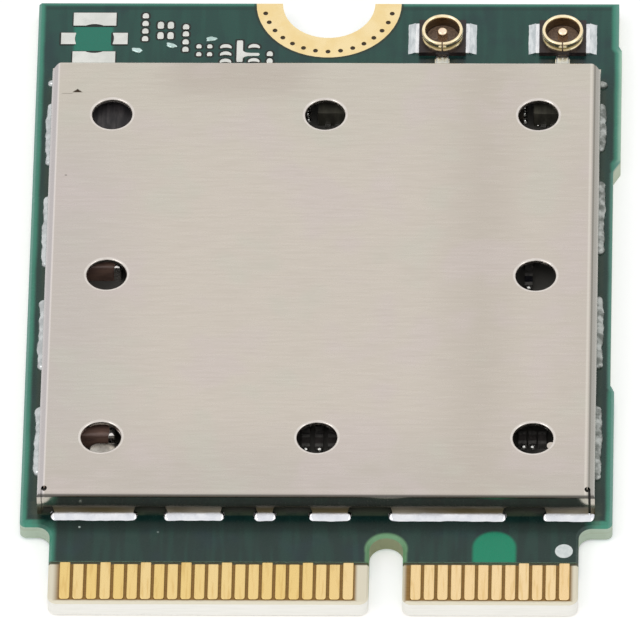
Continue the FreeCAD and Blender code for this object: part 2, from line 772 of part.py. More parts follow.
def make_jack(name):
    """A surface mount coaxial jack: moulded base, rolled outer ring with two solder wings, and centre contact."""
    x = name + "_jack_x"
    edge = "jack_base_width / 2"
    inner, outer = "jack_ring_radius - jack_ring_wall", "jack_ring_radius"

    base = new_body(name + "_jack_base")
    foot = new_sketch(base, "foot", "XY_Plane", x=x, y="jack_y", z="board_thickness")
    add_rectangle(foot, "0", "0", "jack_base_width", "jack_base_length")
    pad(base, foot, "jack_base_height")
    deck = "board_thickness + jack_base_height"
    well = new_sketch(base, "well", "XY_Plane", x=x, y="jack_y", z=deck)
    add_circle(well, "0", "0", inner)
    pocket(base, well, "jack_base_height - jack_floor_height")
    seat = new_sketch(base, "seat", "XY_Plane", x=x, y="jack_y", z=deck)
    add_circle(seat, "0", "0", outer)
    add_circle(seat, "0", "0", inner)
    pocket(base, seat, "jack_base_height - seat_height")
    bore = new_sketch(base, "bore", "XY_Plane", x=x, y="jack_y", z=deck)
    add_circle(bore, "0", "0", "jack_pin_radius")
    pocket(base, bore)
    channel = new_sketch(base, "channel", "XY_Plane", x=x, y="jack_y", z="board_thickness + jack_tail_thickness")
    add_rectangle(channel, "0", "jack_base_length / -2", "jack_tail_width", "jack_base_length")
    pocket(base, channel)
    slots = new_sketch(base, "wing_slots", "XY_Plane", x=x, y="jack_y", z="board_thickness + jack_wing_thickness")
    for sign in ("-", ""):
        add_rectangle(slots, "%s(wing_start + %s + cut_margin) / 2" % (sign, edge), "0",
                      "%s + cut_margin - wing_start" % edge, "jack_wing_length")
    pocket(base, slots)

    ring = new_body(name + "_jack_ring")
    profile = new_sketch(ring, "profile", "XZ_Plane", x=x, y="board_thickness", z="-jack_y")
    waist = "jack_ring_radius - groove_depth"
    low, high = "groove_height - groove_width / 2", "groove_height + groove_width / 2"
    lip = "jack_ring_wall / 4"
    add_polygon(profile, (
        (inner, "seat_height"), (outer, "seat_height"), (outer, low), (waist, low + " + groove_depth / 2"),
        (waist, high), (outer, high + " + groove_depth / 2"), (outer, "jack_height - %s" % lip),
        ("%s - %s" % (outer, lip), "jack_height"), ("%s + %s" % (inner, lip), "jack_height"),
        (inner, "jack_height - %s" % lip)))
    turned = ring.newObject("PartDesign::Revolution", name + "_ring_turn")
    turned.Profile = profile
    turned.ReferenceAxis = (profile, ["V_Axis"])
    turned.Angle = 360
    wings = new_sketch(ring, "wings", "XY_Plane", x=x, y="jack_y", z="board_thickness")
    for sign in ("-", ""):
        add_rectangle(wings, "%s(wing_start + wing_end) / 2" % sign, "0", "wing_end - wing_start",
                      "jack_wing_length")
    pad(ring, wings, "jack_wing_thickness")
    slit = new_sketch(ring, "slit", "XY_Plane", x=x, y="jack_y", z="board_thickness + jack_height")
    add_rectangle(slit, "0", "-wing_start", "jack_slit", "2 * jack_ring_wall")
    pocket(ring, slit)

    contact = new_body(name + "_jack_contact")
    stem = new_sketch(contact, "stem", "XY_Plane", x=x, y="jack_y", z="board_thickness")
    add_circle(stem, "0", "0", "jack_pin_radius")
    post = pad(contact, stem, "jack_pin_height")
    doc.recompute()
    tip = post.Shape.BoundBox.ZMax
    crown = contact.newObject("PartDesign::Chamfer", name + "_pin_crown")
    crown.Base = (post, edges_at(post, lambda point: close(point.z, tip)))
    bind(crown, "Size", "jack_pin_radius / 3")
    tail = new_sketch(contact, "tail", "XY_Plane", x=x, y="jack_y", z="board_thickness")
    add_rectangle(tail, "0", "tail_length / -2", "jack_tail_width", "tail_length")
    pad(contact, tail, "jack_tail_thickness")


def make_jack_solder():
    """Solder on the jacks' ground wings, one fillet each side."""
    body = new_body("jack_solder")
    for name in ("main", "aux"):
        for side, sign in (("left", "-"), ("right", "")):
            profile = new_sketch(body, "%s_%s" % (name, side), "XZ_Plane", x=name + "_jack_x",
                                 y="board_thickness", z="-jack_y")
            inner, outer = sign + "wing_end", sign + "(wing_end + jack_solder_reach)"
            add_polygon(profile, ((inner, "0"), (outer, "0"), (outer, "land_height"),
                                  (inner, "jack_wing_thickness")))
            pad(body, profile, "jack_wing_length", midplane=True)


def make_signal_lands():
    """The tinned lands in front of each jack's tail."""
    group("signal_lands", [block(name + "_signal_land", name + "_jack_x",
                                 "jack_y - tail_length - signal_land_length / 2", "board_thickness",
                                 "signal_land_width", "signal_land_length", "jack_tail_thickness")
                           for name in ("main", "aux")])


def make_spare_lands():
    """Four bare tinned lands for a jack that isn't fitted, with a round clearing between them."""
    body = new_body("spare_jack_lands")
    lands = new_sketch(body, "lands", "XY_Plane", x="spare_x", y="jack_y", z="board_thickness")
    for sign in ("-", ""):
        add_rectangle(lands, "0", sign + "(spare_land_gap + spare_land_length / 2)", "spare_land_width",
                      "spare_land_length")
        add_rectangle(lands, sign + "(spare_side_gap + spare_side_width / 2)", "0", "spare_side_width",
                      "spare_side_length")
    pad(body, lands, "land_height")
    clearing = new_sketch(body, "clearing", "XY_Plane", x="spare_x", y="jack_y",
                          z="board_thickness + land_height")
    add_circle(clearing, "0", "0", "spare_clearing")
    pocket(body, clearing)


def make_part_lands():
    """Bare tinned lands and solder blobs beside the screw notch, where small parts were left out."""
    lands = []
    for number, (kind, count) in enumerate(land_columns):
        for step in range(count):
            lands.append(block("land_%d_%d" % (number, step), "column_%d_x - half_width" % number,
                               "can_back + column_%d_y + %d * column_%d_pitch" % (number, step, number),
                               "board_thickness", kind + "_land_width", kind + "_land_length", "land_height"))
    lands.append(block("bar", "bar_x - half_width", "can_back + bar_y", "board_thickness", "bar_width",
                       "bar_length", "land_height"))
    lands.append(block("branch", "bar_x + (bar_width + branch_width) / 2 - half_width", "can_back + branch_y",
                       "board_thickness", "branch_width", "branch_length", "land_height"))
    group("part_lands", lands)
    group("solder_blobs", [block("blob_%d" % number, "blob_%d_x - half_width" % number,
                                 "can_back + blob_%d_y" % number, "board_thickness", "blob_width",
                                 "blob_length", "blob_height") for number in range(3)])


def make_mark():
    """Printed dot that marks the first contact."""
    body = new_body("first_contact_mark")
    disc = new_sketch(body, "disc", "XY_Plane", z="board_thickness")
    add_circle(disc, "tongue_right - mark_side_gap", "mark_front_gap - half_length", "mark_radius")
    pad(body, disc, "mark_height")


def make_chips():
    """Moulded chips: square bodies that sit flat on the board."""
    for label, x, y, width, length, height in (
            ("radio_chip", "radio_x", "radio_y", "radio_width", "radio_width", "chip_height"),
            ("power_chip", "power_x", "power_y", "power_width", "power_width", "chip_height"),
            ("memory_chip", "memory_x", "memory_y", "memory_width", "memory_length", "memory_height"),
            ("main_front_end_chip", "main_front_end_x", "front_end_y", "front_end_width", "front_end_length",
             "front_end_height"),
            ("aux_front_end_chip", "aux_front_end_x", "front_end_y", "front_end_width", "front_end_length",
             "front_end_height"),
            ("main_antenna_filter", "main_filter_x", "filter_y", "filter_width", "filter_length",
             "filter_height"),
            ("aux_antenna_filter", "aux_filter_x", "filter_y", "filter_width", "filter_length",
             "filter_height")):
        chip = block("Chip_" + label, x, y, "board_thickness", width, length, height)
        chip.Label = label


def make_chip_pads():
    """Tinned pads that show past the sides of the front end chips and the filters."""
    pads = []
    for name in ("main", "aux"):
        for number in range(3):
            pads.append(block("%s_filter_pad_%d" % (name, number),
                              name + "_filter_x + (filter_width + pad_reach) / 2",
                              "filter_y + %d * pad_pitch" % (number - 1), "board_thickness", "pad_reach",
                              "pad_width", "pad_height"))
            pads.append(block("%s_front_pad_%d" % (name, number),
                              "%s_front_end_x - front_end_width / 2 + %d * pad_pitch" % (name, number + 1),
                              "front_end_y - (front_end_length + pad_reach) / 2", "board_thickness",
                              "pad_width", "pad_reach", "pad_height"))
    group("chip_pads", pads)


def make_crystal():
    """Clock crystal: ceramic tray and a metal lid with rounded corners."""
    tray = block("Crystal_tray", "crystal_x", "crystal_y", "board_thickness", "crystal_width", "crystal_length",
                 "crystal_tray_height")
    tray.Label = "crystal_tray"
    body = new_body("crystal_lid")
    lid = new_sketch(body, "outline", "XY_Plane", z="board_thickness + crystal_tray_height")
    add_rectangle(lid, "crystal_x", "crystal_y", "crystal_width - 2 * crystal_lid_inset",
                  "crystal_length - 2 * crystal_lid_inset")
    plate = pad(body, lid, "crystal_lid_height")
    doc.recompute()
    middle = plate.Shape.BoundBox.Center.z
    corners = body.newObject("PartDesign::Fillet", "crystal_corners")
    corners.Base = (plate, edges_at(plate, lambda point: close(point.z, middle)))
    bind(corners, "Radius", "crystal_corner")


def make_coils():
    """Moulded power inductors with a terminal at each end."""
    bodies, ends = [], []
    for number in range(2):
        y = "coil_y - %d * coil_pitch" % number
        bodies.append(block("coil_%d" % number, "coil_x", y, "board_thickness", "coil_width - 2 * large_end",
                            "coil_length", "coil_height"))
        for name, sign in (("left", "-"), ("right", "+")):
            ends.append(block("coil_%s_end_%d" % (name, number),
                              "coil_x %s (coil_width - large_end) / 2" % sign, y, "board_thickness",
                              "large_end", "coil_length", "coil_height"))
    group("power_inductors", bodies)
    group("inductor_ends", ends)


def chip_part(name, x, y, turned, length, width, height, end):
    """Body and two end caps of a chip part, its long side along X, or along Y if turned."""
    middle = "%s - 2 * %s" % (length, end)
    shift = "(%s - %s) / 2" % (length, end)
    if turned:
        body = block(name, x, y, "board_thickness", width, middle, height)
        ends = [block("%s_end_%d" % (name, number), x, "%s %s %s" % (y, sign, shift), "board_thickness",
                      width, end, height) for number, sign in enumerate("-+")]
    else:
        body = block(name, x, y, "board_thickness", middle, width, height)
        ends = [block("%s_end_%d" % (name, number), "%s %s %s" % (x, sign, shift), y, "board_thickness",
                      end, width, height) for number, sign in enumerate("-+")]
    return body, ends


def make_large_capacitors():
    bodies, ends = [], []
    places = ("large_front_y", "large_middle_y", "large_middle_y + large_pitch", "large_middle_y + 2 * large_pitch")
    for number, y in enumerate(places):
        body, caps = chip_part("large_capacitor_%d" % number, "large_x", y, False,
                               "large_length", "large_width", "large_width", "large_end")
        bodies.append(body)
        ends += caps
    group("large_capacitors", bodies)
    group("large_capacitor_ends", ends)


def make_small_parts():
    """Rows of small capacitors and resistors, with one node for each kind and one for their end caps."""
    bodies = {"capacitor": [], "resistor": []}
    ends = []
    for number, (kind, x, y, step_x, step_y, count, turned) in enumerate(small_rows):
        for step in range(count):
            body, caps = chip_part("row_part_%d_%d" % (number, step), "%s + %d * %s" % (x, step, step_x),
                                   "%s + %d * %s" % (y, step, step_y), turned, "small_length", "small_width",
                                   "small_width", "small_end")
            bodies[kind].append(body)
            ends += caps
    group("small_capacitors", bodies["capacitor"])
    group("small_resistors", bodies["resistor"])
    group("small_part_ends", ends)


def export_parts():
    """Checks every object, then writes each labelled sub-part to its own file."""
    doc.recompute()
    for thing in doc.Objects:
        if "Invalid" in thing.State or "Error" in thing.State:
            raise RuntimeError("%s is %s" % (thing.Name, thing.State))
    held = [member for thing in doc.Objects if thing.TypeId == "Part::Compound" for member in thing.Links]
    nodes = [thing for thing in doc.Objects if thing not in held
             and thing.TypeId in ("PartDesign::Body", "Part::Compound", "Part::Box")]
    os.makedirs("parts", exist_ok=True)
    for node in nodes:
        shape = node.Shape
        if shape.isNull() or not shape.isValid() or not shape.Solids:
            raise RuntimeError("%s has no valid solid" % node.Label)
        shape.exportStep("parts/%s.step" % node.Label)
        print("%-24s %3d solids %9.4f mm3" % (node.Label, len(shape.Solids), shape.Volume))
    print(len(nodes), "nodes")


fill_sheet()
make_circuit_board()
add_ground_tails(make_contacts("top", "board_thickness", True, "contact_length", "0", "right_contacts"))
make_contacts("bottom", "0", False, "bottom_contact_length", "contact_pitch / 2",
              "bottom_right_contacts")
make_ring("top", "board_thickness", True)
make_ring("bottom", "0", False)
make_shield_can()
make_can_solder()
make_jack("main")
make_jack("aux")
make_jack_solder()
make_signal_lands()
make_spare_lands()
make_part_lands()
make_mark()
make_chips()
make_chip_pads()
make_crystal()
make_coils()
make_large_capacitors()
make_small_parts()
export_parts()
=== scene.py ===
import math

import bmesh
import bpy
import numpy as np
from mathutils import Matrix, Vector


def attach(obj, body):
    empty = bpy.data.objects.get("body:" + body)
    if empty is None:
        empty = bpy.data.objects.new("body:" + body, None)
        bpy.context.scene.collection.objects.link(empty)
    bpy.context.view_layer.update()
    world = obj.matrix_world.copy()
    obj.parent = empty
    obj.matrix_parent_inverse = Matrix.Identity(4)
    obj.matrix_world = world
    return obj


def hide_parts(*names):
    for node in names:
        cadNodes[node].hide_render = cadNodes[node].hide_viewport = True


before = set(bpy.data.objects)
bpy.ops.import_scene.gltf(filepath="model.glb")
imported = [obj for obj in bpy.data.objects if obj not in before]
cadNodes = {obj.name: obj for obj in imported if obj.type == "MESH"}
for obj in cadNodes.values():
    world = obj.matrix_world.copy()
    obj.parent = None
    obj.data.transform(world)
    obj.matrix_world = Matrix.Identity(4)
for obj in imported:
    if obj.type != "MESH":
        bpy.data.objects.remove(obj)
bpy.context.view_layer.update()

# Laptop wireless card. X points right, Y towards the screw notch, Z up; the board's underside lies on z = 0.
# Shapes below are written in millimetres and turned to metres when their mesh is made.

boardTop = 0.8
lidTop = 2.0
# cushions of tin on bare lands, and the openings in the mask round them
cushionHeight = 0.035
openingMargin = 0.14
openingTop = boardTop + 0.003


# camera: seen from the connector end, turned 2.3 degrees to the right and 48 degrees up

cameraSetup = {"azimuth": 2.287, "elevation": 48.415, "roll": -1.572, "distance": 0.7901,
               "target": (-0.000048, -0.000596, 0.0008), "focal": 21110.0, "frameWidth": 640, "frameHeight": 623,
               "middleRow": 311.5}


def makeCamera(setup):
    # back points from the target to the camera; right and up are turned about it by the roll
    turn, rise, roll = (math.radians(setup[key]) for key in ("azimuth", "elevation", "roll"))
    back = Vector((math.sin(turn) * math.cos(rise), -math.cos(turn) * math.cos(rise), math.sin(rise)))
    right = Vector((0, 0, 1)).cross(back).normalized()
    up = back.cross(right)
    right, up = right * math.cos(roll) + up * math.sin(roll), up * math.cos(roll) - right * math.sin(roll)
    data = bpy.data.cameras.new("photoCamera")
    data.sensor_fit = "HORIZONTAL"
    data.sensor_width = 36
    data.lens = setup["focal"] / setup["frameWidth"] * 36
    data.shift_y = (setup["middleRow"] - setup["frameHeight"] / 2) / setup["frameWidth"]
    data.clip_start, data.clip_end = 0.05, 20
    camera = bpy.data.objects.new("photoCamera", data)
    turned = Matrix((right, up, back)).transposed().to_4x4()
    camera.matrix_world = Matrix.Translation(Vector(setup["target"]) + back * setup["distance"]) @ turned
    bpy.context.scene.collection.objects.link(camera)
    bpy.context.scene.camera = camera


makeCamera(cameraSetup)
print("camera set")


# shader helpers

def tone(red, green, blue):
    # screen colour from 0 to 255 as the linear value that a shader takes
    parts = [value / 255 for value in (red, green, blue)]
    return tuple(part / 12.92 if part <= 0.04045 else ((part + 0.055) / 1.055) ** 2.4 for part in parts) + (1.0,)


class Signal:
    # output of a shader node; sums of signals and numbers add Math nodes, and first | second is the larger one
    def __init__(self, tree, socket):
        self.tree, self.socket = tree, socket

    def __add__(self, other):
        return calc("ADD", self, other)

    def __sub__(self, other):
        return calc("SUBTRACT", self, other)

    def __rsub__(self, other):
        return calc("SUBTRACT", other, self)

    def __mul__(self, other):
        return calc("MULTIPLY", self, other)

    def __or__(self, other):
        return calc("MAXIMUM", self, other)

    def __abs__(self):
        return calc("ABSOLUTE", self)


def addNode(tree, kind, **settings):
    made = tree.nodes.new(kind)
    for key, value in settings.items():
        setattr(made, key, value)
    return made


def feed(socket, value):
    if isinstance(value, Signal):
        value.tree.links.new(value.socket, socket)
    else:
        socket.default_value = value


def calc(operation, first, second=0.0):
    tree = (first if isinstance(first, Signal) else second).tree
    made = addNode(tree, "ShaderNodeMath", operation=operation)
    feed(made.inputs[0], first)
    feed(made.inputs[1], second)
    return Signal(tree, made.outputs[0])


def fade(value, low, high, start=0.0, end=1.0):
    # start below low, end above high, and a smooth step between them
    made = addNode(value.tree, "ShaderNodeMapRange", interpolation_type="SMOOTHSTEP")
    feed(made.inputs["Value"], value)
    for name, number in (("From Min", low), ("From Max", high), ("To Min", start), ("To Max", end)):
        made.inputs[name].default_value = number
    return Signal(value.tree, made.outputs["Result"])


def fall(value, low, high):
    return fade(value, low, high, 1.0, 0.0)


def blend(factor, first, second):
    made = addNode(factor.tree, "ShaderNodeMix", data_type="RGBA")
    for index, value in ((0, factor), (6, first), (7, second)):
        feed(made.inputs[index], value)
    return Signal(factor.tree, made.outputs[2])


def millimetres(tree, stretch=(1, 1, 1)):
    place = addNode(tree, "ShaderNodeTexCoord")
    mapping = addNode(tree, "ShaderNodeMapping")
    tree.links.new(place.outputs["Object"], mapping.inputs["Vector"])
    mapping.inputs["Scale"].default_value = tuple(1000 * value for value in stretch)
    return Signal(tree, mapping.outputs["Vector"])


def axes(vector):
    made = addNode(vector.tree, "ShaderNodeSeparateXYZ")
    feed(made.inputs[0], vector)
    return [Signal(vector.tree, output) for output in made.outputs]


def facing(tree):
    # parts of the surface's own direction along X, Y and Z
    return axes(Signal(tree, addNode(tree, "ShaderNodeTexCoord").outputs["Normal"]))


def noise(vector, scale, detail=3.0, roughness=0.55):
    made = addNode(vector.tree, "ShaderNodeTexNoise")
    feed(made.inputs["Vector"], vector)
    for name, number in (("Scale", scale), ("Detail", detail), ("Roughness", roughness)):
        made.inputs[name].default_value = number
    return Signal(vector.tree, made.outputs["Fac"])


def bump(height, strength, distance):
    # distance in metres
    made = addNode(height.tree, "ShaderNodeBump")
    made.inputs["Strength"].default_value = strength
    made.inputs["Distance"].default_value = distance
    feed(made.inputs["Height"], height)
    return Signal(height.tree, made.outputs["Normal"])


def near(value, centre, reach, soft):
    # 1 within reach of the centre, 0 beyond it, with a soft edge
    return fall(abs(value - centre), reach - soft / 2, reach + soft / 2)


def radiusFrom(x, y, centre):
    across, along = x - centre[0], y - centre[1]
    return calc("SQRT", across * across + along * along)


def newFinish(name, metallic=0.0, roughness=0.5, ior=1.45):
    made = bpy.data.materials.new(name)
    made.use_nodes = True
    tree = made.node_tree
    inputs = tree.nodes["Principled BSDF"].inputs
    for key, number in (("Metallic", metallic), ("Roughness", roughness), ("IOR", ior)):
        inputs[key].default_value = number
    return made, tree, inputs


# solder mask and laminate of the board

maskLook = {"front": tone(24, 50, 44), "middle": tone(28, 60, 52), "back": tone(29, 72, 64),
            "patch": tone(26, 50, 56), "light": tone(64, 141, 118), "outer": tone(98, 152, 138),
            "tabEdge": tone(164, 208, 184), "disc": tone(10, 139, 103), "spare": tone(30, 122, 101),
            "notchRim": tone(112, 158, 116), "gap": tone(152, 116, 58), "margin": tone(236, 228, 205),
            "edge": tone(196, 208, 186), "tongueEnd": tone(255, 253, 246), "shoulderEnd": tone(184, 200, 182),
            "notchWall": tone(152, 158, 124), "via": tone(52, 38, 16), "underCanShade": tone(86, 84, 80),
            "flux": tone(74, 84, 66), "shade": tone(12, 34, 33), "rim": tone(20, 52, 46), "tips": tone(72, 66, 40),
            "jackShadow": tone(10, 16, 18), "speck": tone(190, 206, 200)}


def boardFinish(look):
    made, tree, inputs = newFinish("solderMask", roughness=0.24, ior=1.42)
    place = millimetres(tree)
    x, y, z = axes(place)
    upZ = facing(tree)[2]
    cloud = noise(place, 0.55, 2.0)
    colour = blend(fade(y, -12.5, 0.0), look["front"], look["middle"])
    colour = blend(fade(y, 9.0, 13.0), colour, look["back"])
    patch = fade(cloud, 0.5, 0.7) * 0.5
    colour = blend(patch, colour, look["patch"])

    # faint upright tracks under the mask
    tracks = noise(millimetres(tree, (3.0, 0.3, 1.0)), 1.0, 1.0)
    tracks = fade(tracks, 0.42, 0.62) * 0.06
    colour = blend(tracks, colour, look["light"])

    # copper-free margin along the edges: the panel's line at 11 mm, 0.12 further out along the snapped-off tab
    wave = (noise(place, 0.8, 1.0) - 0.5) * 0.06
    tab = near(y, 9.8, 2.8, 0.3) * fade(x, 0.0, 1.0)
    scrape = near(y, 1.0, 5.5, 0.3) * fade(x, 0.0, 1.0)
    fromSide = abs(x) + wave
    fromSide = fromSide - tab * 0.12
    fromSide = fromSide - scrape * 0.04
    margin = fade(fromSide, 10.67, 10.84)
    margin = margin * (1.0 - scrape * 0.25)
    outer = fade(fromSide + scrape * 0.18, 10.8, 10.99)
    behind = fade(y, 14.82, 14.94)
    margin = margin | behind * 0.7
    outer = outer | fade(y, 14.9, 14.99) * 0.6
    shoulder = fall(y, -11.02, -10.88) * fade(fromSide, 9.9, 10.2)
    margin = margin | shoulder
    neck = fall(y, -12.6, -12.3) * fall(x, -9.78, -9.64)
    neck = neck | fall(x, -9.82, -9.55) * fall(y, -11.2, -10.9)
    margin = margin | neck
    dark = near(y, 14.74, 0.07, 0.08) * 0.5
    colour = blend(dark, colour, look["rim"])
    colour = blend(margin, colour, look["light"])
    colour = blend(outer, colour, look["outer"])
    colour = blend(tab * fade(fromSide, 10.82, 11.01), colour, look["tabEdge"])

    # arch without copper beside the contacts, the square one between the spare lands
    disc = fall(radiusFrom(x, y, (6.64, -12.29)), 0.72, 0.88)
    legs = near(x, 6.64, 0.8, 0.16) * fall(y, -12.34, -12.24)
    colour = blend(disc | legs, colour, look["disc"])
    spare = near(x, -8.9, 0.74, 0.16) * near(y, 13.17, 0.66, 0.16)
    colour = blend(spare, colour, look["spare"])

    # pale rim round the key notch
    arc = fall(radiusFrom(x, y, (2.63, -12.365)), 0.72, 0.86)
    slot = near(x, 2.63, 0.77, 0.14) * fall(y, -12.4, -12.3)
    colour = blend(arc | slot, colour, look["notchRim"])

    # bare laminate between the contacts, paler outside the rows and in front of them
    ragged = y + noise(place, 4.0, 1.0) * 0.06
    bare = fall(ragged, -13.1, -13.04)
    fibre = noise(millimetres(tree, (1.0, 8.0, 8.0)), 2.0)
    brown = blend(fade(fibre, 0.3, 0.7), look["gap"], tone(140, 104, 48))
    offLeft = fade(x, -9.74, -9.42)
    offRight = fall(x, 9.44, 9.62)
    beside = offLeft * offRight
    beside = beside * (1.0 - fade(x, 1.46, 1.62) * fall(x, 3.25, 3.45))
    front = fall(y, -14.9, -14.82)
    pale = 1.0 - beside | front
    colour = blend(bare, colour, blend(pale, brown, look["margin"]))
    # a brown band along the mask's edge behind the contacts, painted shadow of that edge
    colour = blend(near(y, -13.05, 0.07, 0.06) * 0.85, colour, look["tips"])

    # painted shadow and reflection of the can on the mask in front of it, a flat grey under the can as painted shade,
    # and a trace of flux along the wall
    under = near(x, 0.0, 10.3, 0.3) * near(y, 0.18, 10.75, 0.3)
    # painted shadow and reflection of the can's dark front wall on the mask just in front of it
    shade = near(x, 0.0, 10.3, 0.3) * near(y, -10.95, 0.5, 0.5)
    colour = blend(shade * 0.7, colour, look["shade"])
    beside = near(abs(x), 10.4, 0.15, 0.2) * 0.5
    rim = near(y, -10.38, 0.34, 0.1) * 0.8 | beside
    rim = rim * near(y, 0.0, 11.2, 0.2) * fade(noise(place, 1.6, 2.0), 0.3, 0.6, 0.3, 0.8)
    rim = rim * near(x, 0.0, 10.6, 0.2)
    # painted shade: the board under the can takes a flat grey for how it looks in the can's shade
    colour = blend(under, colour, look["underCanShade"])
    colour = blend(rim, colour, look["flux"])

    # painted shadow in front of the jacks, and two specks of solder in front of the can
    jackShadow = near(y, 11.9, 0.42, 0.3) * (near(x, 4.33, 0.86, 0.2) | near(x, 8.88, 0.86, 0.2))
    colour = blend(jackShadow * 0.75, colour, look["jackShadow"])
    for spot, strength in (((-8.77, -11.31), 0.9), ((-5.85, -11.55), 0.35)):
        speck = fade(radiusFrom(x, y, spot), 0.02, 0.06, strength, 0.0)
        colour = blend(speck, colour, look["speck"])

    # holes in the ring show dark brown
    notch = radiusFrom(x, y, (0.0, 15.0))
    colour = blend(fall(notch, 2.68, 2.72), colour, look["via"])
    # a dark line round the ring: the mask's opening, partly bare laminate and partly painted shadow of the mask's
    # edge
    halo = near(notch, 2.79, 0.05, 0.05) * 0.6
    colour = blend(halo, colour, tone(34, 36, 20))

    # cut edges: pressed layers of glass cloth
    layers = noise(millimetres(tree, (0.6, 0.6, 14.0)), 1.0, 2.0)
    nose = fall(y, -14.6, -14.3)
    cut = blend(nose, look["edge"], look["tongueEnd"])
    ends = near(y, -11.2, 0.45, 0.2) * fade(abs(x), 9.2, 9.5)
    cut = blend(ends, cut, look["shoulderEnd"])
    inNotch = fall(radiusFrom(x, y, (2.63, -12.365)), 0.7, 0.8) * fade(y, -13.0, -12.3)
    cut = blend(inNotch, cut, look["notchWall"])
    strata = fade(layers, 0.4, 0.7) * fade(nose, 0.0, 1.0, 0.25, 0.07)
    cut = blend(strata, cut, tone(150, 152, 118))
    lip = fade(z, 0.66, 0.79) * fade(nose, 0.0, 1.0, 0.8, 0.0)
    cut = blend(lip, cut, look["outer"])
    slope = fade(z, 0.35, 0.72) * fade(x, 10.7, 10.8)
    slope = slope * scrape * 0.8
    cut = blend(slope, cut, tone(96, 128, 116))
    side = fall(abs(upZ), 0.35, 0.75)
    colour = blend(side, colour, cut)

    feed(inputs["Base Color"], colour)
    rough = fade(noise(place, 3.0), 0.3, 0.7, 0.2, 0.3)
    matt = bare | side | under
    feed(inputs["Roughness"], rough | matt * 0.6)
    height = noise(place, 9.0, 2.0) + tracks * 6.0
    feed(inputs["Normal"], bump(height, 0.2, 0.000003))
    return made


# brushed sheet of the shield can

lidLook = {"centre": tone(206, 197, 186), "left": tone(198, 190, 183), "right": tone(201, 192, 182),
           "back": tone(203, 196, 184), "front": tone(196, 188, 179), "pink": tone(205, 193, 190),
           "green": tone(198, 197, 184), "stain": tone(70, 58, 46), "stainX": -9.37, "stainY": 9.42,
           "leftBendReflection": tone(190, 184, 183), "rightBendReflection": tone(168, 165, 158), "flux": tone(98, 87, 60),
           "shade": tone(84, 82, 78), "dull": tone(194, 185, 174)}


def canFinish(look):
    made, tree, inputs = newFinish("tinnedSheet", metallic=1.0, roughness=0.3)
    place = millimetres(tree)
    x, y, z = axes(place)
    colour = blend(fade(x, -10.0, -5.0), look["left"], look["centre"])
    colour = blend(fade(x, 7.0, 10.0), colour, look["right"])
    colour = blend(fade(y, 4.0, 10.5), colour, look["back"])
    colour = blend(fall(y, -10.5, -6.0), colour, look["front"])
    worn = near(x, 6.0, 1.2, 3.0) * 0.8
    worn = worn | near(x, -3.4, 2.6, 2.0) * fade(y, 8.5, 10.0)
    colour = blend(worn, colour, look["dull"])
    cloud = noise(place, 0.35, 2.0)
    pink = fade(cloud, 0.52, 0.68) * 0.45
    green = fall(cloud, 0.32, 0.46) * 0.4
    colour = blend(pink, colour, look["pink"])
    colour = blend(green, colour, look["green"])
    grain = noise(millimetres(tree, (0.7, 9.0, 9.0)), 1.0, 4.0, 0.65)
    streak = fade(grain, 0.42, 0.68) * 0.18
    colour = blend(streak, colour, tone(180, 171, 160))
    light = fall(grain, 0.3, 0.44) * 0.15
    colour = blend(light, colour, tone(222, 214, 206))

    # painted reflections on the bends along the sides: a pale line as painted highlight then a dull strip on the
    # left, a darker strip on the right with two thin lines, one dark and one a painted highlight
    level = fade(z, 1.7, 1.74)
    strip = fall(x, -10.12, -10.06) * level
    colour = blend(strip, colour, look["leftBendReflection"])
    line = near(x, -10.09, 0.03, 0.04) * 0.6
    colour = blend(line * level, colour, tone(236, 228, 223))
    strip = fade(x, 10.05, 10.12) * level
    colour = blend(strip, colour, look["rightBendReflection"])
    line = near(x, 10.14, 0.03, 0.04) * 0.8
    colour = blend(line * level, colour, tone(132, 127, 118))
    line = near(x, 10.0, 0.04, 0.06) * 0.6
    colour = blend(line * level, colour, tone(224, 218, 208))

    # brown flux low on the front wall, above the solder, and painted shade on the lid's front bend
    upY, upZ = facing(tree)[1:]
    wall = fall(upZ, 0.05, 0.3)
    flux = fall(z, 1.1, 1.5) * fall(y, -10.5, -10.4)
    flux = flux * wall * fade(cloud, 0.3, 0.6, 0.7, 1.0)
    colour = blend(flux, colour, look["flux"])
    # painted shade where the lid bends down at the front
    turned = fade(upZ, 0.02, 0.1) * fall(upZ, 0.42, 0.68)
    turned = turned * fall(upY, -0.6, -0.4)
    colour = blend(turned * 0.9, colour, look["shade"])

    # small brown stain by the back left corner, pointed at its top, with a faint scratch, and one dark speck
    along = y - (look["stainY"] - 0.06)
    half = 0.2 - along * 1.1
    across = abs(x - look["stainX"])
    across = across + (noise(place, 9.0) - 0.5) * 0.12
    stain = fade(half - across, -0.03, 0.05) * fade(along, -0.02, 0.02)
    scratch = near(y, 9.3, 0.015, 0.03) * near(x, -9.75, 0.2, 0.1)
    speck = fall(radiusFrom(x, y, (-9.69, 5.16)), 0.02, 0.06)
    marks = stain | (scratch | speck) * 0.5
    colour = blend(marks, colour, look["stain"])

    feed(inputs["Base Color"], colour)
    # the drawn walls are smoother than the brushed top
    rough = fade(grain, 0.3, 0.7, 0.24, 0.38)
    top = fade(upZ, 0.02, 0.35)
    rough = rough * fade(top, 0.0, 1.0, 0.38, 1.0)
    rough = rough | flux * 0.5
    feed(inputs["Roughness"], rough | marks * 0.7)
    height = grain * fade(top, 0.0, 1.0, 0.15, 1.0)
    feed(inputs["Normal"], bump(height, 0.1, 0.000006))
    return made


# gold of the edge contacts: a tint for each contact and fine upright wear lines

goldLook = {"left": tone(236, 204, 132), "right": tone(243, 211, 158), "worn": tone(246, 222, 176),
            "shade": tone(214, 176, 104)}


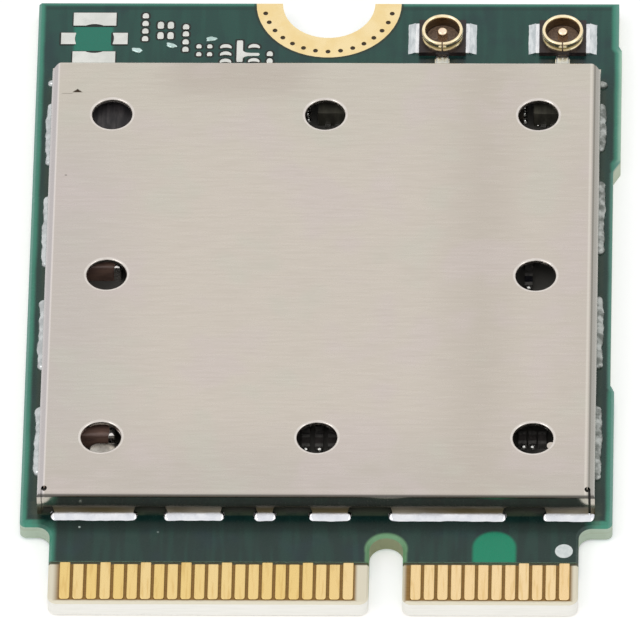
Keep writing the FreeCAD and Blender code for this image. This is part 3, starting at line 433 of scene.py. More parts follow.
def contactFinish(look):
    made, tree, inputs = newFinish("contactGold", metallic=1.0, roughness=0.3)
    x = axes(millimetres(tree))[0]
    colour = blend(fade(x, -2.0, 6.0), look["left"], look["right"])
    step = calc("ROUND", (x - 0.25) * 2.0)
    chance = addNode(tree, "ShaderNodeTexWhiteNoise", noise_dimensions="1D")
    feed(chance.inputs["W"], step)
    colour = blend(Signal(tree, chance.outputs["Value"]) * 0.4, colour, look["worn"])
    lines = noise(millimetres(tree, (9.0, 0.8, 1.0)), 1.0, 3.0)
    colour = blend(fade(lines, 0.5, 0.7) * 0.45, colour, look["shade"])
    # painted shade along both long sides of each contact
    inside = abs((x - 0.25) * 2.0 - step)
    colour = blend(fade(inside, 0.3, 0.37) * 0.45, colour, look["shade"])
    feed(inputs["Base Color"], colour)
    feed(inputs["Roughness"], fade(lines, 0.3, 0.7, 0.22, 0.38))
    feed(inputs["Normal"], bump(lines, 0.15, 0.000004))
    return made


# rings and bases of the antenna jacks

jackPlaces = {"main": (4.33, 13.17), "aux": (8.88, 13.17)}


def fromJack(x, y):
    return calc("MINIMUM", *(radiusFrom(x, y, centre) for centre in jackPlaces.values()))


def ringFinish():
    # pale gold of the jacks' rings, with painted shade in dull brown down their inner walls
    made, tree, inputs = newFinish("jackGold", metallic=1.0, roughness=0.16)
    place = millimetres(tree)
    x, y, z = axes(place)
    cloud = noise(place, 3.0)
    colour = blend(fade(cloud, 0.35, 0.65), tone(255, 240, 202), tone(246, 224, 182))
    innerShade = fall(fromJack(x, y), 0.645, 0.665)
    # painted shade inside each ring, strongest low on the wall and none on its rim
    colour = blend(innerShade * fade(z, 1.28, 1.34, 0.85, 0.0), colour, tone(96, 76, 54))
    groove = near(z, 1.14, 0.065, 0.04) * fade(fromJack(x, y), 0.66, 0.68)
    colour = blend(groove, colour, tone(176, 160, 104))
    feed(inputs["Base Color"], colour)
    feed(inputs["Metallic"], fade(groove, 0.0, 1.0, 1.0, 0.45))
    feed(inputs["Roughness"], fade(cloud, 0.3, 0.7, 0.12, 0.22))
    feed(inputs["Normal"], bump(noise(place, 20.0, 2.0), 0.15, 0.000003))
    return made


def mouldingFinish():
    # dark moulding of the jacks' bases, browner on the floor inside the rings
    made, tree, inputs = newFinish("jackMoulding", roughness=0.42)
    place = millimetres(tree)
    x, y, z = axes(place)
    cloud = noise(place, 5.0)
    colour = blend(fade(cloud, 0.35, 0.65), tone(36, 28, 30), tone(50, 39, 37))
    floor = fall(fromJack(x, y), 0.6, 0.64)
    speckled = blend(fade(noise(place, 14.0), 0.4, 0.6), tone(132, 110, 92), tone(100, 82, 70))
    colour = blend(floor, colour, speckled)
    feed(inputs["Base Color"], colour)
    feed(inputs["Roughness"], fade(cloud, 0.3, 0.7, 0.34, 0.5))
    feed(inputs["Normal"], bump(noise(place, 24.0, 2.0), 0.4, 0.000004))
    return made


# plain finishes: two tones, scale of their cloud in 1/mm, metallic part and roughness

plainLooks = {
    "plateGold": ((247, 224, 172), (242, 216, 158), 1.2, 1.0, 0.3),
    "pinGold": ((255, 236, 206), (246, 220, 196), 6.0, 1.0, 0.28),
    "solder": ((234, 235, 238), (222, 224, 230), 2.2, 1.0, 0.14),
    "dullSolder": ((204, 207, 207), (180, 183, 183), 3.2, 1.0, 0.3),
    # the right side's solder: rougher grain, and a darker grey that is painted shade
    "roughShadedSolder": ((176, 179, 175), (112, 116, 111), 3.0, 1.0, 0.32),
    "wingSilver": ((240, 240, 240), (222, 223, 226), 3.0, 1.0, 0.3),
    "ventRim": ((224, 217, 210), (214, 206, 199), 4.0, 1.0, 0.22),
    "tinnedLand": ((225, 225, 219), (214, 215, 209), 2.0, 1.0, 0.32),
    "slugSolder": ((200, 222, 218), (176, 200, 194), 6.0, 1.0, 0.3),
    "wingJoint": ((220, 224, 225), (192, 198, 200), 2.0, 1.0, 0.26),
    "chipMoulding": ((62, 58, 59), (36, 34, 36), 1.0, 0.0, 0.5),
    "oliveMoulding": ((84, 82, 72), (62, 60, 52), 1.0, 0.0, 0.45),
    "filterCeramic": ((58, 52, 44), (40, 36, 32), 3.0, 0.0, 0.45),
    "crystalSteel": ((178, 174, 166), (160, 154, 146), 2.5, 1.0, 0.3),
    "coilMoulding": ((52, 50, 50), (70, 68, 66), 5.0, 0.0, 0.6),
    "brownCeramic": ((128, 102, 90), (104, 82, 74), 3.0, 0.0, 0.2),
    # painted shade: the small capacitors' ceramic is darkened for how it looks under the can
    "shadowedCeramic": ((70, 66, 64), (52, 49, 47), 4.0, 0.0, 0.35),
    "resistorCoat": ((24, 24, 28), (34, 34, 38), 4.0, 0.0, 0.35),
    "brightTin": ((236, 232, 228), (216, 212, 208), 6.0, 1.0, 0.3),
    "tinEnds": ((206, 204, 200), (176, 174, 170), 6.0, 1.0, 0.35),
    # painted shade: the small parts' tin ends are darkened for how they look under the can
    "shadedTin": ((124, 122, 118), (96, 94, 92), 6.0, 0.4, 0.4),
    "brightJoint": ((224, 224, 220), (204, 204, 200), 8.0, 1.0, 0.24),
    "whitePrint": ((232, 238, 236), (216, 224, 223), 5.0, 0.0, 0.6),
    # the openings in the mask round the lands: bare board, darkened as painted shadow of the mask's edge
    "shadowedOpening": ((14, 26, 22), (24, 34, 26), 5.0, 0.0, 0.5)}
plainDetails = {
    "solder": {"grain": 0.25, "depth": 0.000006}, "dullSolder": {"grain": 0.4, "depth": 0.00001},
    "roughShadedSolder": {"grain": 0.6, "depth": 0.00002}, "wingSilver": {"stretch": (4, 1, 1)},
    "wingJoint": {"grain": 0.3, "stretch": (4, 1, 1)}, "chipMoulding": {"grain": 0.5, "stretch": (6, 1, 1)},
    "oliveMoulding": {"grain": 0.5, "stretch": (5, 1, 1)}, "coilMoulding": {"grain": 0.6},
    "brownCeramic": {"stretch": (0.4, 1, 1)}, "brightJoint": {"roughRange": 0.05}}


def plainFinish(name, first, second, scale, metallic, roughness, grain=0.2, depth=0.000004, roughRange=0.1,
                stretch=(1, 1, 1)):
    # the tones are mixed by a cloudy noise, which moves the gloss too; a finer grain is the bump, its depth in metres
    made, tree, inputs = newFinish(name, metallic, roughness)
    place = millimetres(tree, stretch)
    cloud = noise(place, scale)
    feed(inputs["Base Color"], blend(fade(cloud, 0.35, 0.65), tone(*first), tone(*second)))
    feed(inputs["Roughness"], fade(cloud, 0.3, 0.7, roughness - roughRange, roughness + roughRange))
    feed(inputs["Normal"], bump(noise(place, scale * 6, 2.0), grain, depth))
    return made


finishes = {"solderMask": boardFinish(maskLook), "tinnedSheet": canFinish(lidLook),
            "contactGold": contactFinish(goldLook), "jackGold": ringFinish(), "jackMoulding": mouldingFinish()}
for finishName, look in plainLooks.items():
    finishes[finishName] = plainFinish(finishName, *look, **plainDetails.get(finishName, {}))

cadFinishes = {
    "circuit_board": "solderMask", "top_edge_contacts": "contactGold", "bottom_edge_contacts": "contactGold",
    "top_screw_ring": "plateGold", "bottom_screw_ring": "plateGold", "shield_can": "tinnedSheet",
    "can_solder": "solder", "main_jack_base": "jackMoulding", "aux_jack_base": "jackMoulding",
    "main_jack_ring": "jackGold", "aux_jack_ring": "jackGold", "main_jack_contact": "pinGold",
    "aux_jack_contact": "pinGold", "jack_solder": "dullSolder", "signal_lands": "tinnedLand",
    "spare_jack_lands": "tinnedLand", "part_lands": "tinnedLand", "solder_blobs": "dullSolder",
    "first_contact_mark": "whitePrint", "radio_chip": "chipMoulding", "power_chip": "chipMoulding",
    "memory_chip": "chipMoulding", "main_front_end_chip": "oliveMoulding", "aux_front_end_chip": "oliveMoulding",
    "main_antenna_filter": "filterCeramic", "aux_antenna_filter": "filterCeramic", "chip_pads": "tinEnds",
    "crystal_tray": "filterCeramic", "crystal_lid": "crystalSteel", "power_inductors": "coilMoulding",
    "inductor_ends": "tinEnds", "large_capacitors": "brownCeramic", "large_capacitor_ends": "tinEnds",
    "small_capacitors": "shadowedCeramic", "small_resistors": "resistorCoat", "small_part_ends": "shadedTin"}
for nodeName, finishName in cadFinishes.items():
    materials = cadNodes[nodeName].data.materials
    materials.clear()
    materials.append(finishes[finishName])
print("finishes on the CAD nodes:", len(cadFinishes), "of", len(cadNodes))


# mesh helpers

def loft(rings, closed=False):
    # rings[i, j] is point j of closed loop i; loops are joined in turn and the first and last are capped,
    # or joined to each other where the path is closed
    rings = np.asarray(rings, float)
    count, around = rings.shape[:2]
    here = np.arange(count * around).reshape(count, around)
    beside = np.roll(here, -1, axis=1)
    if closed:
        quads = np.stack([here, beside, np.roll(beside, -1, axis=0), np.roll(here, -1, axis=0)], -1)
        return rings.reshape(-1, 3), quads.reshape(-1, 4).tolist()
    quads = np.stack([here[:-1], beside[:-1], beside[1:], here[1:]], -1).reshape(-1, 4)
    return rings.reshape(-1, 3), quads.tolist() + [here[0][::-1].tolist(), here[-1].tolist()]


def sweep(x, y, z, closed=False):
    # the three coordinates of the rings, each spread to the full grid
    return loft(np.stack(np.broadcast_arrays(x, y, z), -1), closed)


def addPiece(name, parts, finish, replaced=(), smoothAngle=40):
    # joins several closed shells, in millimetres, into one object
    points, faces, shift = [], [], 0
    for partPoints, partFaces in parts:
        points.append(partPoints)
        faces += [[index + shift for index in face] for face in partFaces]
        shift += len(partPoints)
    mesh = bpy.data.meshes.new(name)
    mesh.from_pydata((np.concatenate(points) * 0.001).tolist(), [], faces)
    return finishPiece(name, mesh, finish, replaced, smoothAngle, True)


def finishPiece(name, mesh, finish, replaced, smoothAngle, outward):
    work = bmesh.new()
    work.from_mesh(mesh)
    bmesh.ops.remove_doubles(work, verts=work.verts, dist=1e-8)
    if outward:
        bmesh.ops.recalc_face_normals(work, faces=work.faces)
    work.to_mesh(mesh)
    work.free()
    mesh.shade_smooth()
    mesh.set_sharp_from_angle(angle=math.radians(smoothAngle))
    mesh.materials.clear()
    mesh.materials.append(finishes[finish])
    piece = bpy.data.objects.new(name, mesh)
    bpy.context.scene.collection.objects.link(piece)
    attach(piece, "root")
    if replaced:
        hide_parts(*replaced)
    return piece


def smoothCopy(nodeName, name, finish, smoothAngle=35):
    # the node's own faces with their doubles merged, so that bends shade as curves
    return finishPiece(name, cadNodes[nodeName].data.copy(), finish, [nodeName], smoothAngle, False)


def dome(outline, centre, base, height, steps=5):
    # rings at centre + outline * sqrt(cos(a)), base + height * max(sin(a), 0.12), a from 0 to 80 degrees, over a foot
    angle = np.linspace(0, math.radians(80), steps)
    scale = np.concatenate([[1.0], np.cos(angle) ** 0.5])
    level = np.concatenate([[0.0], np.maximum(np.sin(angle), 0.12)]) * height + base
    points = np.asarray(centre) + outline * scale[:, None, None]
    return sweep(points[..., 0], points[..., 1], level[:, None])


def plate(outline, centre, top, thickness=0.01):
    # flat plate on an outline
    points = np.asarray(centre) + outline
    return sweep(points[:, 0], points[:, 1], np.array([[top - thickness], [top]]))


def turnedShell(profile, centre, base, angles, closed):
    # (radius, height) profile carried round a centre through the given angles
    radius, height = np.asarray(profile).T
    x = centre[0] + np.cos(angles)[:, None] * radius
    return sweep(x, centre[1] + np.sin(angles)[:, None] * radius, base + height, closed)


def padOutline(width, length, power=4.0, bend=0.0, samples=28):
    # superellipse |x/a|^p + |y/b|^p = 1, its middle lifted by bend * (1 - (x/a)^2)
    angle = np.linspace(0, 2 * math.pi, samples, endpoint=False)
    x = width / 2 * np.sign(np.cos(angle)) * np.abs(np.cos(angle)) ** (2 / power)
    y = length / 2 * np.sign(np.sin(angle)) * np.abs(np.sin(angle)) ** (2 / power)
    return np.stack([x, y + bend * (1 - (2 * x / width) ** 2)], -1)


def turnOutline(outline, degrees):
    turn = math.radians(degrees)
    return outline @ np.array([[math.cos(turn), math.sin(turn)], [-math.sin(turn), math.cos(turn)]])


# shield can, with bends that shade as curves

canBends = {"sideAxis": 10.07, "frontAxis": -10.39, "backAxis": 10.75, "level": 1.72}


def roundBends(piece, look):
    # corners of a bend's faces point away from its axis; flat faces and everything else keep their own direction
    mesh = piece.data
    points = np.array([vertex.co for vertex in mesh.vertices]) * 1000
    directions = [(0.0, 0.0, 0.0)] * len(mesh.loops)
    for face in mesh.polygons:
        normal = face.normal
        if max(abs(part) for part in normal) > 0.999:
            for index in face.loop_indices:
                directions[index] = tuple(normal)
        elif 0.05 < abs(normal.z) < 0.98 and (abs(normal.x) > 0.1) != (abs(normal.y) > 0.1):
            across = 0 if abs(normal.x) > 0.1 else 1
            for index in face.loop_indices:
                point = points[mesh.loops[index].vertex_index]
                if across == 0:
                    axis = math.copysign(look["sideAxis"], point[0])
                else:
                    axis = look["frontAxis"] if point[1] < 0 else look["backAxis"]
                away = Vector((0, 0, 0))
                away[across], away[2] = point[across] - axis, point[2] - look["level"]
                if away.length > 0.05:
                    away.normalize()
                    directions[index] = tuple(away if away.dot(normal) > 0 else -away)
    mesh.normals_split_custom_set(directions)


roundBends(smoothCopy("shield_can", "shieldCan", "tinnedSheet"), canBends)
print("shield can")


# rolled rims of the vents

ventRim = {"columns": (-8.03, 0.0, 8.03), "rows": (-7.91, 0.18, 8.26), "radius": 0.75, "width": 0.1,
           "rise": 0.008, "drop": 0.15, "segments": 64}


def ventRims(look):
    # the profile of a rolled edge, (radius, height), carried round each vent's circle
    radius, lip = look["radius"], look["radius"] + look["width"]
    profile = np.array([(lip, lidTop - 0.004), (lip, lidTop + 0.002), (lip - 0.02, lidTop + look["rise"]),
                        (radius + 0.045, lidTop + look["rise"]), (radius + 0.018, lidTop - 0.006),
                        (radius + 0.002, lidTop - 0.035), (radius - 0.003, lidTop - look["drop"]),
                        (radius + 0.02, lidTop - look["drop"])])
    angle = np.linspace(0, 2 * math.pi, look["segments"], endpoint=False)
    parts = []
    for column in look["columns"]:
        for row in look["rows"]:
            if column == 0 and row == look["rows"][1]:
                continue
            parts.append(turnedShell(profile, (column, row), 0.0, angle, True))
    addPiece("ventRims", parts, "ventRim")


ventRims(ventRim)
print("vent rims")


# solder along the can's feet: a rounded bar on each, thinner and rougher on the side walls, and darker on the right
# as painted shade

solderRuns = {"front": ((-9.88, -6.61), (-5.68, -3.38), (-2.34, -1.45), (-0.30, 1.34), (2.67, 7.09), (8.39, 10.35)),
              "back": ((-9.88, -6.61), (-5.68, -3.38), (-2.34, -1.45), (-0.30, 1.34), (2.67, 7.09), (8.39, 10.2)),
              "left": ((-8.85, -5.44), (-3.62, -0.10), (1.53, 5.10), (6.66, 9.81), (10.66, 10.98)),
              "right": ((-8.97, -5.34), (-3.45, 0.14), (2.27, 5.92), (7.45, 9.86), (10.66, 10.98)),
              "walls": {"front": -10.67, "back": 11.03, "left": -10.35, "right": 10.35}, "taper": 0.2,
              "across": {"spread": 0.32, "climb": 0.14, "rough": 0.03},
              "sides": {"spread": 0.23, "climb": 0.2, "rough": 0.09}}


def solderBar(start, end, taper, seed, sloped, spread, climb, rough, samples=56, around=12):
    # a fillet of the given spread and climb along the foot, sloped or a quarter ellipse, its size falling to
    # 0.03 of itself over the taper at each end as sqrt(1 - (1 - s)^2), and rippled by four sines
    chance = np.random.default_rng(seed)
    length = end - start
    taper = min(taper, length * 0.45)
    along = np.unique(np.concatenate([np.linspace(0, length, samples), taper * np.linspace(0, 1, 12) ** 2,
                                      length - taper * np.linspace(0, 1, 12) ** 2]))
    inset = np.clip(np.minimum(along, length - along) / taper, 0, 1)
    size = np.maximum(np.sqrt(1 - (1 - inset) ** 2), 0.03)
    ripple = np.ones_like(along)
    for wave in (1.1, 2.3, 4.1, 7.3):
        ripple = ripple + rough / wave ** 0.5 * np.sin(along * wave * 2.2 + chance.uniform(0, 6.28))
    angle = np.linspace(math.pi / 2, 0, around)
    steps, levels = np.cos(angle), np.sin(angle)
    if sloped:
        steps = np.array([0.0, 0.15, 0.3, 0.45, 0.6, 0.72, 0.83, 0.91, 0.96, 0.99, 1.0])
        levels = np.array([1.0, 0.91, 0.81, 0.7, 0.58, 0.47, 0.35, 0.24, 0.15, 0.07, 0.0])
    out = np.concatenate([[-0.02, -0.02], steps])
    high = np.concatenate([[0.0, 1.0], levels])
    outward = np.where(out < 0, out, out * spread)[None] * np.ones_like(along)[:, None]
    outward = np.where(out[None] < 0, outward, outward * (size * ripple)[:, None])
    lifted = high[None] * climb * (size * (0.7 + 0.3 * ripple))[:, None]
    return start + along, outward, lifted


def canSolder(look):
    whole, dull, grey = [], [], []
    seed = 1
    for side in ("front", "back", "left", "right"):
        across = side in ("front", "back")
        sizes = look["across"] if across else look["sides"]
        for start, end in look[side]:
            along, outward, lifted = solderBar(start, end, look["taper"], seed, across, **sizes)
            seed += 1
            level = boardTop + lifted
            foot = look["walls"][side] + (outward if side in ("back", "right") else -outward)
            bar = sweep(along[:, None], foot, level) if across else sweep(foot, along[:, None], level)
            {"left": dull, "right": grey}.get(side, whole).append(bar)
    addPiece("footSolder", whole, "solder", ["can_solder"])
    addPiece("leftSolder", dull, "dullSolder")
    addPiece("rightSolder", grey, "roughShadedSolder")


canSolder(solderRuns)
print("can solder")


# antenna jacks: rolled ring with a seam at the front, pin, wings and their solder

jackRing = {"seam": 0.05, "radius": 0.7, "segments": 96,
            "profile": ((0.635, 0.07), (0.70, 0.07), (0.775, 0.085), (0.78, 0.11), (0.78, 0.22), (0.775, 0.24),
                        (0.74, 0.285), (0.71, 0.325), (0.702, 0.35), (0.71, 0.37), (0.735, 0.385), (0.77, 0.395),
                        (0.78, 0.415), (0.78, 0.51), (0.775, 0.545), (0.762, 0.58), (0.74, 0.602), (0.71, 0.61),
                        (0.68, 0.602), (0.655, 0.58), (0.64, 0.545), (0.635, 0.51), (0.635, 0.30))}
jackWing = {"start": 0.74, "end": 1.045, "height": 0.1, "length": 1.5, "solderEnd": 1.29}
jackPin = {"radius": 0.195, "height": 0.54, "tailWidth": 0.36, "tailHeight": 0.05, "tailReach": 1.03,
           "tabWidth": 0.52, "tabBack": 12.35, "tabFront": 11.6, "tabHeight": 0.09}


def softBlock(lowX, highX, lowY, highY, base, height, edge):
    # a block whose plan is a superellipse of power 12 and whose top edge rolls over by the given amount
    outline = padOutline(1, 1, 12.0, samples=48)
    centre = np.array([(lowX + highX) / 2, (lowY + highY) / 2])
    size = np.array([highX - lowX, highY - lowY])
    angle = np.linspace(0, math.pi / 2, 4)
    inset = np.concatenate([[0.0], edge * (1 - np.cos(angle))])
    level = np.concatenate([[0.0], height - edge + edge * np.sin(angle)])
    points = centre + outline * (size - 2 * inset[:, None, None])
    return sweep(points[..., 0], points[..., 1], base + level[:, None])


def jackParts():
    half = math.asin(jackRing["seam"] / 2 / jackRing["radius"])
    opened = np.linspace(-math.pi / 2 + half, 1.5 * math.pi - half, jackRing["segments"])
    whole = np.linspace(0, 2 * math.pi, 40, endpoint=False)
    solder, wings, tabs = [], [], []
    for name, (x, y) in jackPlaces.items():
        shells = [turnedShell(jackRing["profile"], (x, y), boardTop, opened, False)]
        for sign in (-1, 1):
            ends = sorted((x + sign * jackWing["start"], x + sign * jackWing["end"]))
            wings.append(softBlock(*ends, y - jackWing["length"] / 2, y + jackWing["length"] / 2, boardTop,
                                   jackWing["height"], 0.03))
            solder.append(wingSolder(x, y, sign))
        addPiece(name + "JackRing", shells, "jackGold", [name + "_jack_ring"])
        radius, height = jackPin["radius"], jackPin["height"]
        crown = [(radius, 0.0), (radius, height - 0.12), (radius * 0.96, height - 0.08),
                 (radius * 0.85, height - 0.04), (radius * 0.65, height - 0.015), (radius * 0.35, height),
                 (0.002, height), (0.002, 0.0)]
        pin = turnedShell(crown, (x, y), boardTop, whole, True)
        tail = softBlock(x - jackPin["tailWidth"] / 2, x + jackPin["tailWidth"] / 2, y - jackPin["tailReach"], y,
                         boardTop, jackPin["tailHeight"], 0.015)
        addPiece(name + "JackPin", [pin, tail], "pinGold", [name + "_jack_contact"])
        tabs.append(signalTab(x))
    addPiece("jackWings", wings, "wingSilver")
    addPiece("signalSolder", tabs, "tinnedLand")
    addPiece("wingSolder", solder, "wingJoint", ["jack_solder"])


def signalTab(x):
    # solder heaped over the end of the signal tail
    outline = padOutline(jackPin["tabWidth"], jackPin["tabBack"] - jackPin["tabFront"], 9.0, samples=36)
    centre = (x, (jackPin["tabBack"] + jackPin["tabFront"]) / 2)
    return dome(outline, centre, boardTop, jackPin["tabHeight"], 6)


def wingSolder(x, y, sign, samples=40):
    # a hollow slope from the wing's top to the board, 0.1 + 0.9 (1 - t)^1.6 of its height, its foot rippled along Y
    along = np.linspace(-1, 1, samples) * jackWing["length"] / 2
    step = np.linspace(0, 1, 9)
    reach = jackWing["solderEnd"] - jackWing["end"]
    ripple = 1 + 0.02 * np.sin(along * 6 + x) + 0.012 * np.sin(along * 21 + 2 * x)
    out = np.concatenate([[-0.02, -0.02], step * reach])
    high = np.concatenate([[0.0, 1.0], (1 - step) ** 1.6 * 0.9 + 0.1 * (step < 0.999)])
    foot = jackWing["end"] + out * np.where(out > 0, ripple[:, None], 1)
    return sweep(x + sign * foot, y + along[:, None], boardTop + high * jackWing["height"])


jackParts()
print("antenna jacks")


# tinned lands of parts that were left out, each a low cushion of tin, with the openings in the mask round them, near
# black as bare board and painted shadow of the mask's edge

# for each kind of land its columns, x with the y of its rows, then its width, length, power and bend
landRows = {"square": ((-6.94, (14.33, 13.94, 13.55, 13.16)), (-5.40, (13.77, 13.41, 13.00, 12.62))),
            "tall": ((-6.36, (13.86, 13.33)), (-5.98, (13.86, 13.33))),
            "small": ((-4.89, (12.78, 12.38)), (-4.48, (12.78, 12.38))),
            "wide": ((-3.87, (12.75, 12.38, 12.01)), (-2.80, (12.76, 12.04))),
            "last": ((-2.20, (12.40, 12.04)),)}
landShape = {"square": (0.25, 0.27, 2.6, 0.03), "tall": (0.25, 0.36, 3.0, 0.02), "small": (0.21, 0.22, 2.4, 0.02),
             "wide": (0.44, 0.2, 3.0, 0.07), "last": (0.24, 0.26, 2.6, 0.03)}
# x, y, width and length of the spare jack's lands
spareLands = ((-8.86, 14.16, 1.62, 0.66), (-8.86, 12.18, 1.62, 0.66), (-9.89, 13.17, 0.5, 0.58),
              (-7.9, 13.17, 0.56, 0.58))
landBar = {"x": -3.34, "top": 13.11, "bottom": 12.01, "width": 0.25, "branchY": 12.38, "branchEnd": -2.58}
# x, y and tilt of the loose slugs of solder
blobs = ((-7.23, 12.58, -14), (-5.94, 12.83, -20), (-4.43, 13.16, 6))


def landCushions():
    tin, openings = [], []
    for kind, columns in landRows.items():
        width, length, power, bend = landShape[kind]
        outline = padOutline(width, length, power, bend)
        wider = padOutline(width + openingMargin, length + 0.13, power, bend)
        for x, rows in columns:
            for y in rows:
                tin.append(dome(outline, (x, y), boardTop, cushionHeight))
                openings.append(plate(wider, (x, y), openingTop))
    width, length = landBar["width"], landBar["top"] - landBar["bottom"]
    middle = (landBar["x"], (landBar["top"] + landBar["bottom"]) / 2)
    tin.append(dome(padOutline(width, length, 8.0), middle, boardTop, cushionHeight))
    openings.append(plate(padOutline(width + openingMargin, length + openingMargin, 8.0), middle, openingTop))
    tin.append(landBranch())
    addPiece("landCushions", tin, "tinnedLand", ["part_lands"])
    for x, y, width, length in spareLands:
        openings.append(plate(padOutline(width + 0.1, length + 0.1, 14.0), (x, y), openingTop))
    addPiece("maskOpenings", openings, "shadowedOpening")


def landBranch(samples=24):
    # a strip to the right of the bar, its half width 0.08 flared by 0.12 * exp(-distance / 0.08) at the joint
    along = np.linspace(landBar["x"], landBar["branchEnd"], samples)
    away = np.maximum(along - landBar["x"] - landBar["width"] / 2, 0)
    half = 0.08 + 0.12 * np.exp(-away / 0.08)
    tip = np.clip((landBar["branchEnd"] - along) / 0.06, 0, 1)
    half = np.maximum(half * np.sqrt(1 - (1 - tip) ** 2), 0.005)
    across = np.array([-1.0, -0.93, -0.6, 0.0, 0.6, 0.93, 1.0])
    level = np.array([0.0, 0.022, 0.032, cushionHeight, 0.032, 0.022, 0.0])
    return sweep(along[:, None], landBar["branchY"] + half[:, None] * across, boardTop + level)


def solderSlugs():
    # tilted ellipses with a ragged outline, r = 1 + 0.1 sin(3a + x) + 0.07 sin(5a + 1)
    shells = []
    for x, y, tilt in blobs:
        outline = padOutline(0.42, 0.24, 2.2, samples=40)
        angle = np.linspace(0, 2 * math.pi, 40, endpoint=False)
        outline = outline * (1 + 0.1 * np.sin(3 * angle + x) + 0.07 * np.sin(5 * angle + 1))[:, None]
        shells.append(dome(turnOutline(outline, tilt), (x, y), boardTop, 0.07, 6))
    addPiece("solderSlugs", shells, "slugSolder", ["solder_blobs"])


landCushions()
solderSlugs()
print("lands")


# edge contacts: thin pads with rounded front ends, every third one of the ground pads longer

contactRows = {"pitch": 0.5, "width": 0.38, "front": -14.84, "back": -13.14, "groundBack": -13.05, "height": 0.03,
               "left": (-9.25, 22, 8), "right": (3.75, 12, 2), "groundStep": 3, "rightStart": 8}


def contactPads(look):
    # outline of one pad from its front: two corners of radius 0.11, and two of 0.03 at the back
    shells = []
    for row, (first, count, grounds) in (("left", look["left"]), ("right", look["right"])):
        start = 0 if row == "left" else look["rightStart"]
        longer = {start + look["groundStep"] * index for index in range(grounds)}
        for index in range(count):
            x = first + look["pitch"] * index
            back = look["groundBack"] if index in longer else look["back"]
            half = look["width"] / 2
            points = []
            for cornerX, cornerY, radius, begin in ((half, look["front"], 0.11, -90), (half, back, 0.03, 0),
                                                    (-half, back, 0.03, 90), (-half, look["front"], 0.11, 180)):
                angle = np.radians(begin + np.linspace(0, 90, 6))
                centreX = cornerX - math.copysign(radius, cornerX)
                centreY = cornerY + radius if cornerY < -14 else cornerY - radius
                points.append(np.stack([centreX + radius * np.cos(angle), centreY + radius * np.sin(angle)], -1))
            outline = np.concatenate(points)
            middle = np.array([0.0, (look["front"] + back) / 2])
            rings = np.empty((4, len(outline), 3))
            for step, (inset, level) in enumerate(((0.0, 0.0), (0.0, 0.7), (0.008, 0.93), (0.02, 1.0))):
                size = np.array([1 - inset / half, 1 - 2 * inset / (back - look["front"])])
                rings[step, :, :2] = np.array([x, 0.0]) + middle + (outline - middle) * size
                rings[step, :, 2] = boardTop + level * look["height"]
            shells.append(loft(rings))
    addPiece("contactPads", shells, "contactGold", ["top_edge_contacts"])


contactPads(contactRows)
print("contacts")


# rounded bodies and joints that show through the vents

jointSpots = {"bright": ((7.48, 9.62, 0.9), (7.48, 9.33, 0.9), (7.49, 8.96, 0.9), (-0.71, 9.3, 0.9),
                         (-0.68, 8.99, 0.9), (0.08, -7.7, 1.08), (-0.45, -7.7, 1.08), (7.66, -7.55, 1.08),
                         (7.99, -7.56, 1.08), (7.74, 0.36, 1.08)),
              "small": ((8.0, 8.72, 0.9), (0.31, 8.86, 0.9), (0.46, 8.91, 0.9), (7.61, -6.9, 1.06),
                        (7.98, -7.04, 1.06), (8.35, -6.9, 1.06)),
              "radius": 0.115, "smallRadius": 0.055}


def ball(centre, radius, flat=0.8):
    # squat ball: radius r cos(a), height flat r sin(a)
    angle = np.linspace(math.radians(-80), math.radians(80), 9)
    across, level = (radius * np.cos(angle))[:, None], (flat * radius * np.sin(angle))[:, None]
    turned = np.linspace(0, 2 * math.pi, 16, endpoint=False)
    return sweep(centre[0] + across * np.cos(turned), centre[1] + across * np.sin(turned), centre[2] + level)


largeCapacitors = {"left": -9.12, "right": -7.52, "cap": 0.28, "fronts": (-7.48, 0.89, 2.39, 3.89), "width": 0.8,
                   "height": 0.8, "edge": 0.12}
crystalCap = {"x": (-8.5, -6.7), "y": (-9.1, -7.66), "base": 1.15, "height": 0.25, "edge": 0.05, "power": 5.0}


def roundedBodies(look, crystal):
    bodies, ends = [], []
    for front in look["fronts"]:
        back = front + look["width"]
        bodies.append(softBlock(look["left"] + 0.1, look["right"] - 0.1, front + 0.02, back - 0.02, boardTop,
                                look["height"] - 0.02, look["edge"]))
        for low, high in ((look["left"], look["left"] + look["cap"]), (look["right"] - look["cap"], look["right"])):
            ends.append(softBlock(low, high, front, back, boardTop, look["height"], look["edge"]))
    addPiece("capacitorBodies", bodies, "brownCeramic", ["large_capacitors"])
    addPiece("capacitorEnds", ends, "brightTin", ["large_capacitor_ends"])
    outline = padOutline(1, 1, crystal["power"], samples=48)
    size = np.array([crystal["x"][1] - crystal["x"][0], crystal["y"][1] - crystal["y"][0]])
    centre = np.array([sum(crystal["x"]) / 2, sum(crystal["y"]) / 2])
    rings = np.empty((5, len(outline), 3))
    for step, (inset, level) in enumerate(((0.0, 0.0), (0.0, 0.2), (0.006, 0.225), (0.02, 0.242), (0.05, 0.25))):
        rings[step, :, :2] = centre + outline * (size - 2 * inset)
        rings[step, :, 2] = crystal["base"] + level
    addPiece("crystalCap", [loft(rings)], "crystalSteel", ["crystal_lid"])


roundedBodies(largeCapacitors, crystalCap)


def ventJoints(look):
    shells = [ball(spot, look["radius"]) for spot in look["bright"]]
    shells += [ball(spot, look["smallRadius"]) for spot in look["small"]]
    addPiece("ventJoints", shells, "brightJoint")


ventJoints(jointSpots)
print("joints under the vents")


# floor and light

studio = {"floorSize": 3.0, "floorColour": tone(246, 246, 246), "floorGlow": 0.32, "skyDiffuse": 0.62}


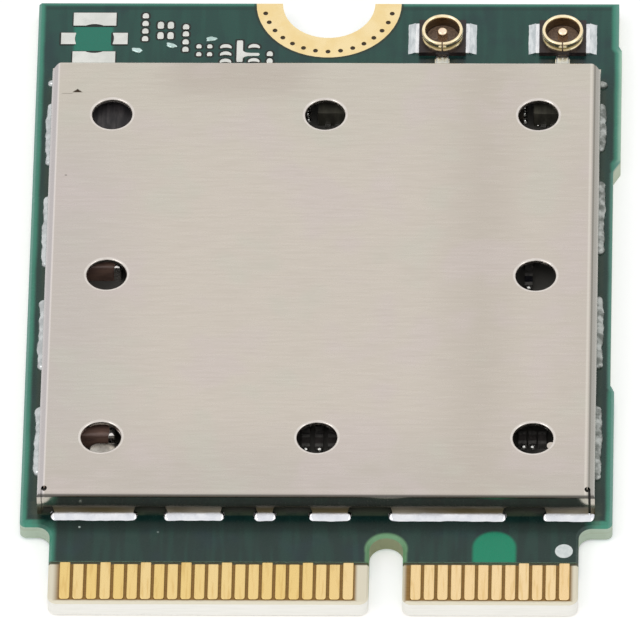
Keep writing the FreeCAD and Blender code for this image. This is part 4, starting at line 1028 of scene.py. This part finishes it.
def seenDirectly(tree):
    # 1 on rays of the camera and those that are mirrored or pass through glass, 0 on diffuse ones
    rays = [Signal(tree, output) for output in addNode(tree, "ShaderNodeLightPath").outputs]
    named = {ray.socket.name: ray for ray in rays}
    return named["Is Camera Ray"] | named["Is Glossy Ray"] | named["Is Transmission Ray"]


def makeFloor(look):
    half = look["floorSize"] / 2
    mesh = bpy.data.meshes.new("studioFloor")
    mesh.from_pydata([(-half, -half, 0), (half, -half, 0), (half, half, 0), (-half, half, 0)], [], [(0, 1, 2, 3)])
    made, tree, inputs = newFinish("floorPaper", roughness=0.9)
    inputs["Specular IOR Level"].default_value = 0.0
    inputs["Base Color"].default_value = look["floorColour"]
    inputs["Emission Color"].default_value = (1, 1, 1, 1)
    feed(inputs["Emission Strength"], seenDirectly(tree) * look["floorGlow"])
    mesh.materials.append(made)
    floor = bpy.data.objects.new("studioFloor", mesh)
    bpy.context.scene.collection.objects.link(floor)


def makeSky(look):
    world = bpy.data.worlds.new("studioSky")
    bpy.context.scene.world = world
    world.use_nodes = True
    tree = world.node_tree
    inputs = tree.nodes["Background"].inputs
    inputs["Color"].default_value = (1, 1, 1, 1)
    feed(inputs["Strength"], fade(seenDirectly(tree), 0.0, 1.0, look["skyDiffuse"], 1.0))


def makeLamp(name, place, size, brightness, shines=True):
    # brightness is the radiance of the lamp's face; one that doesn't shine is left out of reflections
    data = bpy.data.lights.new(name, "AREA")
    data.shape = "SQUARE"
    data.size = size
    data.energy = brightness * math.pi * size * size
    lamp = bpy.data.objects.new(name, data)
    lamp.visible_glossy = shines
    spot = Vector(place)
    lamp.matrix_world = Matrix.Translation(spot) @ spot.to_track_quat("Z", "Y").to_matrix().to_4x4()
    bpy.context.scene.collection.objects.link(lamp)


makeFloor(studio)
makeSky(studio)
makeLamp("softboxLeft", (-0.35, -0.15, 0.45), 0.3, 1.6)
makeLamp("softboxRight", (0.4, -0.1, 0.4), 0.25, 1.2)
makeLamp("softboxOver", (0.0, -0.28, 0.55), 0.3, 1.2, False)
makeLamp("softboxFront", (0.0, -0.6, 0.1), 0.3, 1.3, False)
bpy.context.scene.view_settings.view_transform = "Standard"
print("floor and light")
